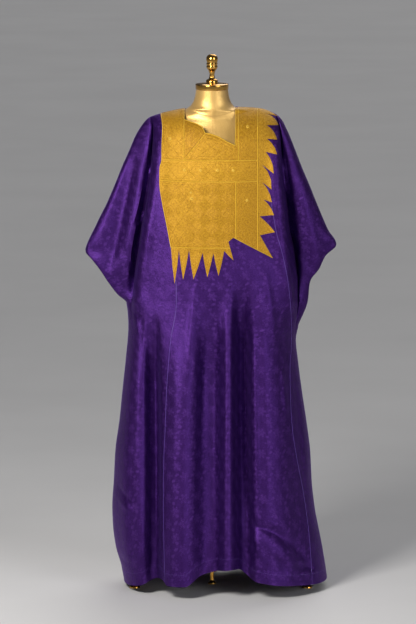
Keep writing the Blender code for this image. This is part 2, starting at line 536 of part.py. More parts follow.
def plastron_outlines():
    """The outline of each plastron piece in X and Z, 0.3 mm apart at their seams."""
    half = SEAM / 2
    left = np.array((PLASTRON_LEFT_FOOT, *PLASTRON_LEFT))

    def left_edge(z_low, z_top, count):
        z = np.linspace(z_low, z_top, count)
        return [(float(x), float(height)) for x, height in zip(smooth(z, left[:, 0], left[:, 1]), z)]

    def neck(first, last):
        return [point for point in NECKLINE if first <= point[0] <= last]

    tip_x, tip_z = SIDE_TEETH[-1][2:4]
    slope = (tip_z - INNER_CORNER[1]) / (tip_x - INNER_CORNER[0])

    def low_edge(x):
        return x, INNER_CORNER[1] + (x - INNER_CORNER[0]) * slope

    gusset_foot = (STRAP_SEAM_X + 2 * half, CHEST_TOP_Z + half)
    outlines = {
        "strap_right": [
            *left_edge(CHEST_TOP_Z + half, PLASTRON_LEFT[-1][0], 7), (PLASTRON_LEFT[-1][1], TOP_Z),
            (STRAP_SEAM_X - half, TOP_Z), (STRAP_SEAM_X - half, CHEST_TOP_Z + half),
        ],
        "neck_gusset": [
            gusset_foot, (STRAP_SEAM_X + half, NECKLINE[1][1]), *neck(NECKLINE[1][0], -0.0200),
            (GUSSET_CORNER[0] - SEAM, GUSSET_CORNER[1]),
        ],
        "neck_piece": [
            (gusset_foot[0] + 3 * SEAM, gusset_foot[1]), (GUSSET_CORNER[0] + SEAM, GUSSET_CORNER[1]),
            *neck(-0.0100, 0.0700), (NECK_SEAM_X - half, NECKLINE[-2][1]), (NECK_SEAM_X - half, CHEST_TOP_Z + half),
        ],
        "strap_left": [
            (LOWER_SEAM_X, TOP_Z), (LOWER_SEAM_X, NECKLINE[-2][1] + SEAM),
            (NECK_SEAM_X + half, NECKLINE[-2][1] + SEAM), (NECK_SEAM_X + half, CHEST_TOP_Z + half),
            (BAND_SEAM_X - half, CHEST_TOP_Z + half), (BAND_SEAM_X - half, TOP_Z),
        ],
        "chest_band": [
            *left_edge(CHEST_LOW_Z + half, CHEST_TOP_Z - half, 4), (BAND_SEAM_X - half, CHEST_TOP_Z - half),
            (BAND_SEAM_X - half, CHEST_LOW_Z + half),
        ],
        "lower_panel": [
            *left_edge(TEETH_SEAM_Z + half, CHEST_LOW_Z - half, 7), (LOWER_SEAM_X - half, CHEST_LOW_Z - half),
            low_edge(LOWER_SEAM_X - half), INNER_CORNER, LAST_NOTCH, (FOOT_TEETH[-1][2], TEETH_SEAM_Z + half),
        ],
        "lower_corner": [
            low_edge(LOWER_SEAM_X + half), (LOWER_SEAM_X + half, CHEST_LOW_Z - half),
            (BAND_SEAM_X - half, CHEST_LOW_Z - half), low_edge(BAND_SEAM_X - half),
        ],
    }
    band = [(BAND_SEAM_X + half, TOP_Z), (SIDE_TEETH[0][0], TOP_Z)]
    for notch_x, notch_z, tip_x, tip_z, swell in SIDE_TEETH:
        band.append((notch_x, notch_z))
        band += swollen((notch_x, notch_z), (tip_x, tip_z), swell, 3 if swell > 0.02 else 1)
    band.append(low_edge(BAND_SEAM_X + half))
    outlines["band_left"] = band
    last = (PLASTRON_LEFT_FOOT[1], TEETH_SEAM_Z - half)
    teeth = [last]
    for tip_x, tip_z, notch_x, notch_z in FOOT_TEETH:
        teeth += swollen(last, (tip_x, tip_z), -FOOT_SWELL, 2)
        last = (notch_x, notch_z)
        teeth += swollen((tip_x, tip_z), last, -FOOT_SWELL, 2)
    teeth[-1] = (FOOT_TEETH[-1][2], TEETH_SEAM_Z - half)
    outlines["foot_teeth"] = teeth
    return outlines


def build():
    """The whole object."""
    for obj in list(bpy.data.objects):
        bpy.data.objects.remove(obj, do_unlink=True)
    scene = bpy.context.scene
    parts = bpy.data.collections.new("kaftan_on_dress_form")
    cutters = bpy.data.collections.new("cutters")
    scene.collection.children.link(parts)
    scene.collection.children.link(cutters)
    root = bpy.data.objects.new("kaftan_root", None)
    parts.objects.link(root)
    paint = {name: add_material(name) for name in MATERIALS}

    def add_cutter(name, outline, y_front, y_back):
        cutter = add_object(name, prism_mesh(name, outline, y_front, y_back), None, cutters, root, False)
        cutter.hide_render = True
        cutter.display_type = "WIRE"
        return cutter

    # Cloth panels
    panels = (
        ("side_right", "left_x", "seam_l"), ("centre", "seam_l", "seam_r"), ("side_left", "seam_r", "right_x"),
    )
    made = {}
    for side, rows in (("front", ROWS_FRONT), ("back", ROWS_BACK)):
        places, columns = across_places(side)
        points = sheet_grid(side, rows, places)
        normals = grid_normals(side, points, rows)
        for panel, first, last in panels:
            start, stop = columns[first], columns[last] + 1
            part = points[:, start:stop].copy()
            facing = normals[:, start:stop]
            for column, neighbour, cut in ((0, 1, first != "left_x"), (-1, -2, last != "right_x")):
                if cut:
                    toward = part[:, neighbour] - part[:, column]
                    toward -= np.sum(toward * facing[:, column], axis=1)[:, None] * facing[:, column]
                    toward /= np.linalg.norm(toward, axis=1, keepdims=True)
                    part[:, column] += toward * SEAM / 2
            name = f"{side}_{panel}_panel"
            mesh = shell_mesh(name, part - facing * WALL / 2, part + facing * WALL / 2, side)
            made[name] = add_object(name, mesh, paint["violet_cloth"], parts, root)
        if side == "front":
            front_points, front_normals = points, normals

    # Neck opening
    opening = [(NECKLINE[0][0], TOP_Z), *NECKLINE, (LOWER_SEAM_X, TOP_Z)]
    cut_with(made["front_centre_panel"], add_cutter("front_neck_cutter", opening, -0.30, 0.0), "DIFFERENCE")
    nape = []
    for k in range(13):
        share = k / 12
        x = NECKLINE[0][0] + share * (LOWER_SEAM_X - NECKLINE[0][0])
        nape.append((x, NAPE_Z - BACK_NECK_DROP * math.sin(math.pi * share)))
    nape = [(NECKLINE[0][0], TOP_Z), *nape, (LOWER_SEAM_X, TOP_Z)]
    cut_with(made["back_centre_panel"], add_cutter("back_neck_cutter", nape, 0.0, 0.30), "DIFFERENCE")

    # Plastron, from the front sheet's points moved out
    base = WALL / 2 + PLASTRON_GAP
    levels = np.array(ROWS_FRONT)
    rows = levels > PLASTRON_LOW_Z
    for name, outline in plastron_outlines().items():
        low_z = min(z for _, z in outline) - 0.05
        left_x = min(x for x, _ in outline) - OUTLINE_SPARE
        right_x = max(x for x, _ in outline) + OUTLINE_SPARE
        reach = front_points[rows]
        use_columns = np.flatnonzero(((reach[..., 0] > left_x) & (reach[..., 0] < right_x)).any(axis=0))
        keep = slice(max(use_columns[0] - 1, 0), use_columns[-1] + 2)
        use_rows = levels > min(low_z - OUTLINE_SPARE, CHEST_TOP_Z)
        points = front_points[use_rows][:, keep]
        facing = front_normals[use_rows][:, keep]
        mesh = shell_mesh(name, points + facing * base, points + facing * (base + PLASTRON_WALL), "front")
        piece = add_object(name, mesh, paint["gold_embroidery"], parts, root)
        cut_with(piece, add_cutter(name + "_cutter", outline, -0.40, 0.02), "INTERSECT")

    # Dress form
    sides = FORM_SIDES
    points = []
    for z, left, right, front, back, power in FORM:
        for k in range(sides):
            angle = 2 * math.pi * k / sides
            across, ahead = math.cos(angle), math.sin(angle)
            half = right if across > 0 else left
            deep = back if ahead > 0 else front
            points.append((
                half * math.copysign(abs(across) ** (2 / power), across),
                deep * math.copysign(abs(ahead) ** (2 / power), ahead), z,
            ))
    faces = [tuple(range(sides))[::-1], tuple(range((len(FORM) - 1) * sides, len(FORM) * sides))]
    for ring in range(len(FORM) - 1):
        for k in range(sides):
            n = (k + 1) % sides
            low, high = ring * sides, (ring + 1) * sides
            faces.append((low + k, low + n, high + n, high + k))
    mesh = bpy.data.meshes.new("form_body")
    mesh.from_pydata(points, [], faces)
    mesh.update()
    add_object("form_body", mesh, paint["form_satin"], parts, root)

    # Cap, finial and stand
    brass = paint["brass"]
    add_object("neck_cap", turned_mesh("neck_cap", NECK_CAP), brass, parts, root)
    add_object("finial", turned_mesh("finial", FINIAL, 20), brass, parts, root)
    pole = (*POLE_FOOT, (POLE_RADIUS, FORM_BOTTOM_Z - SEAM))
    add_object("pole", turned_mesh("pole", pole, 20), brass, parts, root)
    hub = bpy.data.meshes.new("hub")
    shape = bmesh.new()
    for radius in (HUB_RADIUS, POLE_RADIUS + SEAM):
        bmesh.ops.create_circle(shape, cap_ends=False, segments=HUB_SIDES, radius=radius)
    bmesh.ops.bridge_loops(shape, edges=list(shape.edges))
    lifted = bmesh.ops.extrude_face_region(shape, geom=list(shape.faces))
    moved = [v for v in lifted["geom"] if isinstance(v, bmesh.types.BMVert)]
    bmesh.ops.translate(shape, verts=moved, vec=(0.0, 0.0, HUB_HEIGHT))
    bmesh.ops.recalc_face_normals(shape, faces=list(shape.faces))
    shape.to_mesh(hub)
    shape.free()
    hub_object = add_object("hub", hub, brass, parts, root, False)
    hub_object.location = (0.0, 0.0, HUB_BOTTOM_Z)
    leg_foot_z = FOOT_HEIGHT + SEAM + LEG_RADIUS
    for name, (x, y) in FEET.items():
        reach = math.hypot(x, y)
        ahead = np.array((x / reach, y / reach))
        start = HUB_RADIUS + SEAM
        curve = bpy.data.curves.new(name.replace("foot", "leg"), "CURVE")
        curve.dimensions = "3D"
        curve.bevel_depth = LEG_RADIUS
        curve.bevel_resolution = 2
        curve.resolution_u = 8
        curve.use_fill_caps = True
        spline = curve.splines.new("BEZIER")
        spline.bezier_points.add(1)
        ends = (
            (start, HUB_BOTTOM_Z + HUB_HEIGHT / 2, start + LEG_BOW, HUB_BOTTOM_Z + HUB_HEIGHT / 2),
            (reach, leg_foot_z, reach - LEG_BOW, leg_foot_z),
        )
        for point, (out, z, handle_out, handle_z) in zip(spline.bezier_points, ends):
            point.co = (*(ahead * out), z)
            handle = (*(ahead * handle_out), handle_z)
            back_handle = tuple(2 * c - h for c, h in zip(point.co, handle))
            first = out < handle_out
            point.handle_left_type = point.handle_right_type = "FREE"
            point.handle_right = handle if first else back_handle
            point.handle_left = back_handle if first else handle
        add_object(curve.name, curve, brass, parts, root, False)
        rim = FOOT_HEIGHT - FOOT_BEVEL
        disc = ((FOOT_RADIUS, 0.0), (FOOT_RADIUS, rim), (FOOT_RADIUS - FOOT_BEVEL, FOOT_HEIGHT))
        foot = add_object(name, turned_mesh(name, disc, 24), brass, parts, root, False)
        foot.location = (*(ahead * (reach - FOOT_RADIUS / 2)), 0.0)


build()
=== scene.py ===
"""How the kaftan on its dress form looks: fine cloth, embroidery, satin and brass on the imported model.

The cloth is worked out from the same tables as the CAD solids, on a finer grid, with creases added.
Metres, +Z up, the front faces -Y, and the origin is on the floor under the pole.
"""

import math

import bpy
import numpy as np
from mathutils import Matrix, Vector
from mathutils.geometry import delaunay_2d_cdt


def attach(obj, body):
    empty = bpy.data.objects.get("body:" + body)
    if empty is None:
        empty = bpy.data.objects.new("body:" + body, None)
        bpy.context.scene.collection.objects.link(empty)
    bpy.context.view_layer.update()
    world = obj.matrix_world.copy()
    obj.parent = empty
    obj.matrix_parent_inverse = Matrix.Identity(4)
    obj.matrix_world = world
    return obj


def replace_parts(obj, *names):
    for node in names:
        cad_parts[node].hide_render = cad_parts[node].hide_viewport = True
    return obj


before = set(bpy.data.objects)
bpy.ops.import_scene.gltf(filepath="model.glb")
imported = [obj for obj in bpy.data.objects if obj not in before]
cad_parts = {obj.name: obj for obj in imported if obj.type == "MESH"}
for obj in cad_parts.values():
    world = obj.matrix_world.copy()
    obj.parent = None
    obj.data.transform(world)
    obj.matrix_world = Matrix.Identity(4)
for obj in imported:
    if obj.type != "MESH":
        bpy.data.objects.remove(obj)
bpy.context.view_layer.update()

# Cloth
SEAM = 0.0003
PLASTRON_WALL = 0.0012
FORM_CLEAR = 0.0021
FORM_REACH = 0.2
SHOULDER_Z = 1.430
SHOULDER_ROUND = 0.075
SLEEVE_ROUND = 0.012
SLEEVE_LIP = 0.22
SLEEVE_CREST = 0.83
SLEEVE_SWELL = 0.4
RING_POWER = 2.3
FOLD_END_POWER = 8
FOLD_FLATNESS = 2.8

# Stand
POLE_RADIUS = 0.0055
FORM_BOTTOM_Z = 0.745
FOOT_RADIUS = 0.016
FOOT_HEIGHT = 0.006
FOOT_BEVEL = 0.0015
LEG_RADIUS = 0.006
HUB_RADIUS = 0.017
HUB_BOTTOM_Z = 0.205
HUB_HEIGHT = 0.032
LEG_BOW = 0.085

# One row for each level of the cloth, from the hem up: height, then the left end (x, z), the four valley
# and seam lines across (x), the right end (x, z), the half depths in front and behind, the sleeve's half
# depth, and how far the cuff stands open.
LEVEL_COLUMNS = (
    "level", "left_x", "left_z", "valley_l", "seam_l", "seam_r", "valley_r", "right_x", "right_z",
    "front", "back", "sleeve", "cuff",
)
LEVELS = (
    (0.015, -0.270, 0.014, -0.246, -0.144, 0.306, 0.338, 0.354, 0.024, 0.250, 0.240, 0.000, 0.000),
    (0.060, -0.279, 0.062, -0.254, -0.144, 0.304, 0.334, 0.348, 0.064, 0.249, 0.238, 0.000, 0.000),
    (0.120, -0.296, 0.122, -0.268, -0.145, 0.301, 0.326, 0.339, 0.118, 0.247, 0.236, 0.000, 0.000),
    (0.180, -0.304, 0.185, -0.275, -0.146, 0.296, 0.317, 0.327, 0.178, 0.243, 0.232, 0.000, 0.000),
    (0.240, -0.306, 0.245, -0.277, -0.147, 0.289, 0.307, 0.316, 0.236, 0.239, 0.226, 0.000, 0.000),
    (0.322, -0.301, 0.325, -0.273, -0.147, 0.276, 0.295, 0.306, 0.322, 0.232, 0.217, 0.000, 0.000),
    (0.415, -0.296, 0.419, -0.268, -0.146, 0.258, 0.284, 0.301, 0.417, 0.224, 0.206, 0.000, 0.000),
    (0.510, -0.283, 0.514, -0.256, -0.142, 0.244, 0.271, 0.289, 0.510, 0.214, 0.194, 0.000, 0.000),
    (0.620, -0.272, 0.623, -0.246, -0.138, 0.238, 0.260, 0.273, 0.617, 0.202, 0.181, 0.000, 0.000),
    (0.700, -0.263, 0.705, -0.240, -0.133, 0.237, 0.253, 0.263, 0.695, 0.194, 0.172, 0.000, 0.000),
    (0.800, -0.255, 0.805, -0.238, -0.124, 0.242, 0.250, 0.256, 0.762, 0.184, 0.161, 0.000, 0.000),
    (0.880, -0.261, 0.877, -0.245, -0.112, 0.242, 0.255, 0.264, 0.808, 0.176, 0.153, 0.012, 0.000),
    (0.915, -0.289, 0.905, -0.242, -0.108, 0.238, 0.262, 0.292, 0.880, 0.172, 0.150, 0.024, 0.012),
    (0.950, -0.318, 0.945, -0.238, -0.108, 0.232, 0.262, 0.299, 0.944, 0.169, 0.147, 0.031, 0.020),
    (0.985, -0.342, 0.982, -0.234, -0.112, 0.226, 0.258, 0.327, 0.985, 0.166, 0.145, 0.036, 0.022),
    (1.020, -0.369, 1.016, -0.229, -0.118, 0.218, 0.253, 0.346, 1.024, 0.163, 0.142, 0.038, 0.016),
    (1.045, -0.386, 1.036, -0.225, -0.122, 0.212, 0.249, 0.379, 1.054, 0.161, 0.140, 0.039, 0.000),
    (1.108, -0.354, 1.114, -0.215, -0.133, 0.196, 0.237, 0.353, 1.103, 0.157, 0.136, 0.041, 0.000),
    (1.184, -0.319, 1.185, -0.201, -0.148, 0.182, 0.229, 0.319, 1.182, 0.151, 0.131, 0.041, 0.000),
    (1.240, -0.295, 1.241, -0.192, -0.156, 0.171, 0.221, 0.297, 1.237, 0.145, 0.127, 0.040, 0.000),
    (1.292, -0.272, 1.298, -0.186, -0.158, 0.160, 0.215, 0.276, 1.286, 0.136, 0.121, 0.039, 0.000),
    (1.345, -0.249, 1.350, -0.181, -0.155, 0.156, 0.211, 0.255, 1.340, 0.121, 0.113, 0.037, 0.000),
    (1.388, -0.231, 1.392, -0.178, -0.151, 0.154, 0.208, 0.237, 1.386, 0.102, 0.101, 0.035, 0.000),
    (1.430, -0.213, 1.422, -0.188, -0.154, 0.153, 0.194, 0.215, 1.434, 0.074, 0.076, 0.034, 0.000),
)
LOW = dict(zip(LEVEL_COLUMNS, LEVELS[0]))
TOP = dict(zip(LEVEL_COLUMNS, LEVELS[-1]))
# Front and back meet at the sheet's outer edges below and above the cuffs, at these levels.
JOINED_BELOW = 0.8801
JOINED_ABOVE = 1.0449
# The way the front and the back of the garment face, along Y.
OUT = {"front": -1.0, "back": 1.0}

# The lines across each sheet from left to right, and how many steps lie between a line and the next.
LINES = {
    "front": (
        ("left_x", 5), ("valley_l", 1), ("ridge_a", 3), ("trough_b", 2), ("seam_l", 2), ("ridge_d", 4),
        ("trough_e", 4), ("ridge_f", 3), ("trough_g", 4), ("ridge_h", 3), ("seam_r", 3), ("valley_r", 5),
        ("right_x", 0),
    ),
    "back": (
        ("left_x", 5), ("valley_l", 1), ("back_a", 2), ("seam_l", 1), ("back_b", 2), ("back_c", 2),
        ("back_d", 2), ("back_e", 2), ("back_f", 2), ("seam_r", 2), ("valley_r", 5), ("right_x", 0),
    ),
}
# The line down the middle of each sheet.
MIDDLE_LINE = {"front": "ridge_f", "back": "back_c"}

# The shoulder line, as height at a share of the way across from the left corner to the right one.
SHOULDER_LINE = (
    (0.000, 1.422), (0.030, 1.438), (0.054, 1.446), (0.136, 1.458), (0.297, 1.4730), (0.350, 1.4765),
    (0.500, 1.4790), (0.640, 1.4785), (0.667, 1.4775), (0.834, 1.4735), (0.910, 1.4640),
    (0.958, 1.4540), (0.985, 1.4430), (1.000, 1.434),
)
SHOULDER_FADE_Z = 1.290

# The hem, as height at x. Behind it runs nearly level.
HEM = {
    "front": (
        (-0.270, 0.014), (-0.216, 0.030), (-0.180, 0.047), (-0.151, 0.056), (-0.136, 0.042), (-0.080, 0.043),
        (-0.058, 0.056), (-0.038, 0.070), (-0.001, 0.081), (0.023, 0.089), (0.055, 0.095), (0.079, 0.092),
        (0.102, 0.074), (0.126, 0.058), (0.173, 0.048), (0.243, 0.038), (0.313, 0.028), (0.354, 0.024),
    ),
    "back": ((-0.270, 0.014), (-0.150, 0.032), (0.050, 0.036), (0.250, 0.034), (0.354, 0.024)),
}
HEM_FADE_Z = 0.420

# Folds, as x at three heights (top, middle, foot), how far the cloth comes out (or goes in, below 0) at
# the middle and at the foot, the half width, and the height over which the fold grows in at its top.
FOLD_COLUMNS = (
    "name", "side", "z_top", "x_top", "z_mid", "x_mid", "z_low", "x_low", "out_mid", "out_low", "width",
    "grow",
)
FOLDS = (
    ("ridge_a", "front", 0.960, -0.226, 0.540, -0.238, 0.030, -0.246, 0.022, 0.014, 0.036, 0.20),
    ("trough_b", "front", 0.860, -0.182, 0.540, -0.179, 0.030, -0.176, -0.050, -0.042, 0.022, 0.22),
    ("ridge_d", "front", 0.900, -0.084, 0.540, -0.094, 0.030, -0.104, 0.024, 0.024, 0.042, 0.30),
    ("trough_e", "front", 0.920, -0.010, 0.540, -0.013, 0.030, -0.010, -0.038, -0.034, 0.037, 0.26),
    ("ridge_f", "front", 0.960, 0.052, 0.540, 0.049, 0.030, 0.046, 0.016, 0.010, 0.018, 0.16),
    ("trough_g", "front", 1.000, 0.090, 0.540, 0.094, 0.030, 0.101, -0.052, -0.046, 0.025, 0.26),
    ("ridge_h", "front", 1.060, 0.160, 0.540, 0.186, 0.030, 0.208, 0.024, 0.016, 0.054, 0.30),
    ("back_a", "back", 1.180, -0.166, 0.540, -0.190, 0.030, -0.205, 0.022, 0.026, 0.032, 0.30),
    ("back_b", "back", 1.120, -0.095, 0.540, -0.112, 0.030, -0.120, -0.034, -0.036, 0.026, 0.30),
    ("back_c", "back", 1.180, -0.030, 0.540, -0.040, 0.030, -0.050, 0.020, 0.024, 0.034, 0.34),
    ("back_d", "back", 1.080, 0.036, 0.540, 0.034, 0.030, 0.036, -0.032, -0.036, 0.026, 0.30),
    ("back_e", "back", 1.180, 0.094, 0.540, 0.110, 0.030, 0.128, 0.022, 0.024, 0.034, 0.34),
    ("back_f", "back", 1.100, 0.150, 0.540, 0.188, 0.030, 0.220, -0.030, -0.034, 0.026, 0.30),
)
# Where the cloth draws in between body and sleeve, its half depth there.
VALLEY_DEPTH = 0.016
SLEEVE_BLEND = (0.965, 0.800)

# The dress form, one ring for each row: height, half widths left and right, half depths in front and
# behind, and the power that rounds the ring (2 is an ellipse).
FORM = (
    (0.745, 0.136, 0.136, 0.078, 0.086, 2.2), (0.751, 0.146, 0.146, 0.086, 0.094, 2.2),
    (0.764, 0.153, 0.153, 0.092, 0.101, 2.2), (0.810, 0.163, 0.163, 0.101, 0.111, 2.2),
    (0.860, 0.166, 0.166, 0.104, 0.114, 2.2), (0.920, 0.158, 0.158, 0.099, 0.107, 2.2),
    (0.990, 0.138, 0.138, 0.089, 0.092, 2.2), (1.060, 0.125, 0.125, 0.085, 0.084, 2.2),
    (1.130, 0.134, 0.134, 0.100, 0.090, 2.2), (1.190, 0.146, 0.146, 0.117, 0.099, 2.2),
    (1.240, 0.154, 0.154, 0.123, 0.104, 2.2), (1.290, 0.158, 0.160, 0.117, 0.105, 2.2),
    (1.340, 0.161, 0.165, 0.101, 0.098, 2.2), (1.380, 0.167, 0.174, 0.085, 0.086, 2.1),
    (1.405, 0.172, 0.181, 0.074, 0.075, 2.0), (1.425, 0.175, 0.186, 0.066, 0.068, 1.85),
    (1.438, 0.173, 0.186, 0.062, 0.063, 1.7), (1.449, 0.166, 0.182, 0.059, 0.060, 1.5),
    (1.458, 0.149, 0.174, 0.0585, 0.0595, 1.45), (1.465, 0.118, 0.150, 0.0580, 0.0590, 1.50),
    (1.4705, 0.086, 0.118, 0.0574, 0.0582, 1.78), (1.476, 0.0735, 0.0712, 0.0567, 0.0573, 2.2),
    (1.481, 0.0665, 0.0665, 0.0556, 0.0562, 2.05), (1.487, 0.0618, 0.0618, 0.0541, 0.0546, 2.0),
    (1.495, 0.0570, 0.0570, 0.0525, 0.053, 2.0), (1.509, 0.0522, 0.0522, 0.0508, 0.051, 2.0),
    (1.532, 0.0487, 0.0487, 0.0487, 0.0487, 2.0),
)

# Turned profiles as (radius, height), from the bottom up.
NECK_CAP = ((0.0485, 1.5323), (0.0500, 1.5335), (0.0505, 1.5470), (0.0497, 1.5488), (0.0300, 1.5508))
FINIAL = (
    (0.0180, 1.5512), (0.0180, 1.5590), (0.0160, 1.5620), (0.0100, 1.5645), (0.0080, 1.5700),
    (0.0078, 1.5800), (0.0100, 1.5880), (0.0150, 1.5950), (0.0168, 1.5990), (0.0172, 1.6020),
    (0.0158, 1.6040), (0.0156, 1.6070), (0.0172, 1.6090), (0.0168, 1.6120), (0.0150, 1.6135),
    (0.0172, 1.6190), (0.0177, 1.6240), (0.0168, 1.6300), (0.0138, 1.6350), (0.0085, 1.6388),
)
POLE_FOOT = ((0.0120, 0.0), (0.0120, 0.0040), (0.0075, 0.0070), (POLE_RADIUS, 0.0120))
# Feet of the three legs, as x and y.
FEET = {"foot_right": (-0.245, -0.062), "foot_left": (0.300, -0.062), "foot_back": (0.0, 0.200)}

# Seam lines of the plastron, in x or z, and its left edge as (height, x).
PLASTRON_LEFT = (
    (1.103, -0.1304), (1.139, -0.1374), (1.195, -0.1490), (1.258, -0.1579), (1.300, -0.1579),
    (1.324, -0.1518), (1.370, -0.1509), (1.426, -0.1490), (1.458, -0.1548),
)
PLASTRON_LEFT_FOOT = (1.0670, -0.1240)
STRAP_SEAM_X = -0.0845
NECK_SEAM_X = 0.0795
BAND_SEAM_X = 0.1374
LOWER_SEAM_X = 0.0719
CHEST_TOP_Z = 1.3285
CHEST_LOW_Z = 1.2652
TEETH_SEAM_Z = 1.0670
NECKLINE = (
    (-0.0845, 1.4600), (-0.0832, 1.4458), (-0.0490, 1.4358), (-0.0306, 1.4278), (-0.0214, 1.4095),
    (-0.0031, 1.4066), (0.0214, 1.3980), (0.0444, 1.3847), (0.0698, 1.3726), (0.0719, 1.4245),
)
GUSSET_CORNER = (-0.0200, 1.4088)
NAPE_Z = 1.4740
BACK_NECK_DROP = 0.020
TOP_Z = 1.60

# Teeth down the wearer's left side: notch above the tooth (x, z), its tip (x, z), and how far its upper
# side swells, as a share of its length.
SIDE_TEETH = (
    (0.1500, 1.4740, 0.1989, 1.4513, 0.04), (0.1652, 1.4597, 0.2010, 1.4261, 0.13),
    (0.1652, 1.4292, 0.1965, 1.3861, 0.10), (0.1652, 1.3908, 0.1965, 1.3434, 0.10),
    (0.1622, 1.3522, 0.1864, 1.2873, 0.10), (0.1490, 1.3156, 0.1799, 1.2400, 0.13),
    (0.1506, 1.2628, 0.1808, 1.2018, 0.09), (0.1554, 1.2099, 0.1876, 1.1631, 0.08),
    (0.1432, 1.1601, 0.1906, 1.1112, 0.03), (0.1447, 1.1029, 0.1827, 1.0344, 0.00),
)
INNER_CORNER = (0.0655, 1.0988)
LAST_NOTCH = (0.0493, 1.0861)
# Teeth along the foot, as tip (x, z) and the notch after it (x, z), from the wearer's right.
FOOT_TEETH = (
    (-0.1129, 0.9575, -0.0998, 1.0609), (-0.0872, 0.9709, -0.0692, 1.0618),
    (-0.0560, 0.9716, -0.0285, 1.0524), (-0.0141, 0.9785, 0.0040, 1.0516),
    (0.0196, 0.9832, 0.0367, 1.0580), (0.0643, 1.0296, 0.0544, 1.0668),
)
FOOT_SWELL = 0.012
STRAIGHT_SWELL = 0.02

# Finer make of the cloth in this scene
CLOTH = 0.0009
PLASTRON_LIFT = 0.0002
PLASTRON_STEP = 0.0026
PLASTRON_EDGE = 0.004
PLASTRON_EDGE_SHARE = 0.55
HEM_DEPTH = 0.040
HEM_RISE = 0.0005
HEM_SLOPE = (0.0015, -0.0005)
CREASE_END = 0.030
CREASE_STEPS = 10
CREASE_REACH = 4
CREASE_TIP = 0.6
CREASE_FADE = 0.7
CORD_WIDE = 0.00150
CORD_HIGH = 0.00100
CORD_STEP = 0.0022
CORD_SUNK = 0.8
THREAD_WIDE = 0.00050
THREAD_HIGH = 0.00035
THREAD_INSET = 0.004
THREAD_LEAST = 4
WELT_WIDE = 0.00095
WELT_HIGH = 0.00080
WELT_SIDES = 6
WELT_INSET = 0.004
NECK_INSET = 0.002
HEM_INSET = 0.004
STITCH_INSET = 0.003
WELT_STEPS = 420
RIM_STEPS = 260
SHOULDER_STEPS = 240
STITCH = {"length": 0.0034, "apart": 0.0052, "radius": 0.00045}
# Spans of levels in which the outer edges of front and back are sewn together.
RIM_SPANS = ((0.016, 0.878), (1.048, SHOULDER_Z - 0.0005))
NECK_SEAM_HALF = 0.0700
NECK_SEAM_Z = 1.4566
NECK_SEAM_CURVE = 3.46
NECK_SEAM_STEPS = 90
NAPE_STEPS = 24
CUT_DEPTH = 0.30
LEG_STEPS = 60
FORM_STEP = 0.006
FORM_SIDES = 144
FORM_GIRTH = 0.8
FINE_TIMES = 5
FINE_LEAST = 12
END_POWER = 1.7
FACING_STEP = 0.0012
HALVINGS = 22
SOFT_EDGE = 0.0006
SOFT_MOST = 0.3
TINY = 1e-12
FAR = 1e9
TURN = 2 * math.pi
FINE_ROWS = {"front": (0.0056, 28), "back": (0.0080, 24)}
PANELS = (
    ("side_right", "left_x", "seam_l"), ("centre", "seam_l", "seam_r"), ("side_left", "seam_r", "right_x"),
)
GOLD_TONES = {"plain": 0.0, "dark": -0.09, "light": 0.06}
PLASTRON_TONE = {
    "strap_right": "plain", "neck_gusset": "dark", "neck_piece": "plain", "strap_left": "plain",
    "chest_band": "light", "lower_panel": "plain", "lower_corner": "plain", "band_left": "light",
    "foot_teeth": "plain",
}
# How many threads of a lattice lie to each side of its middle one, and the height where they end.
LATTICE_REACH = 40
LATTICE_TOP_Z = 1.478
# Threads laid in a lattice, as the way between them and their slope.
LATTICE = {
    "lower_panel": (0.052, 1.35), "strap_right": (0.040, 1.0), "strap_left": (0.040, 1.0),
    "neck_piece": (0.034, 0.7), "lower_corner": (0.034, 1.35), "chest_band": (0.063, 1.1),
}
# Rosettes as x, z and radius. Each has a knot and petals, whose points lie at these shares of the radius.
PETALS = 10
PETAL_SHARES = (0.62, 0.75, 0.9, 1.02)
KNOT_SHARE = 0.45
KNOT_STEPS = 12
ROSETTES = (
    (-0.0830, 1.3000, 0.0048), (-0.0350, 1.3000, 0.0048), (0.0160, 1.3000, 0.0048), (0.0630, 1.3000, 0.0048),
    (-0.1270, 1.3910, 0.0050), (0.1070, 1.4260, 0.0048), (-0.0620, 1.2150, 0.0052), (-0.0635, 1.2330, 0.0038),
    (0.1050, 1.2100, 0.0044),
)

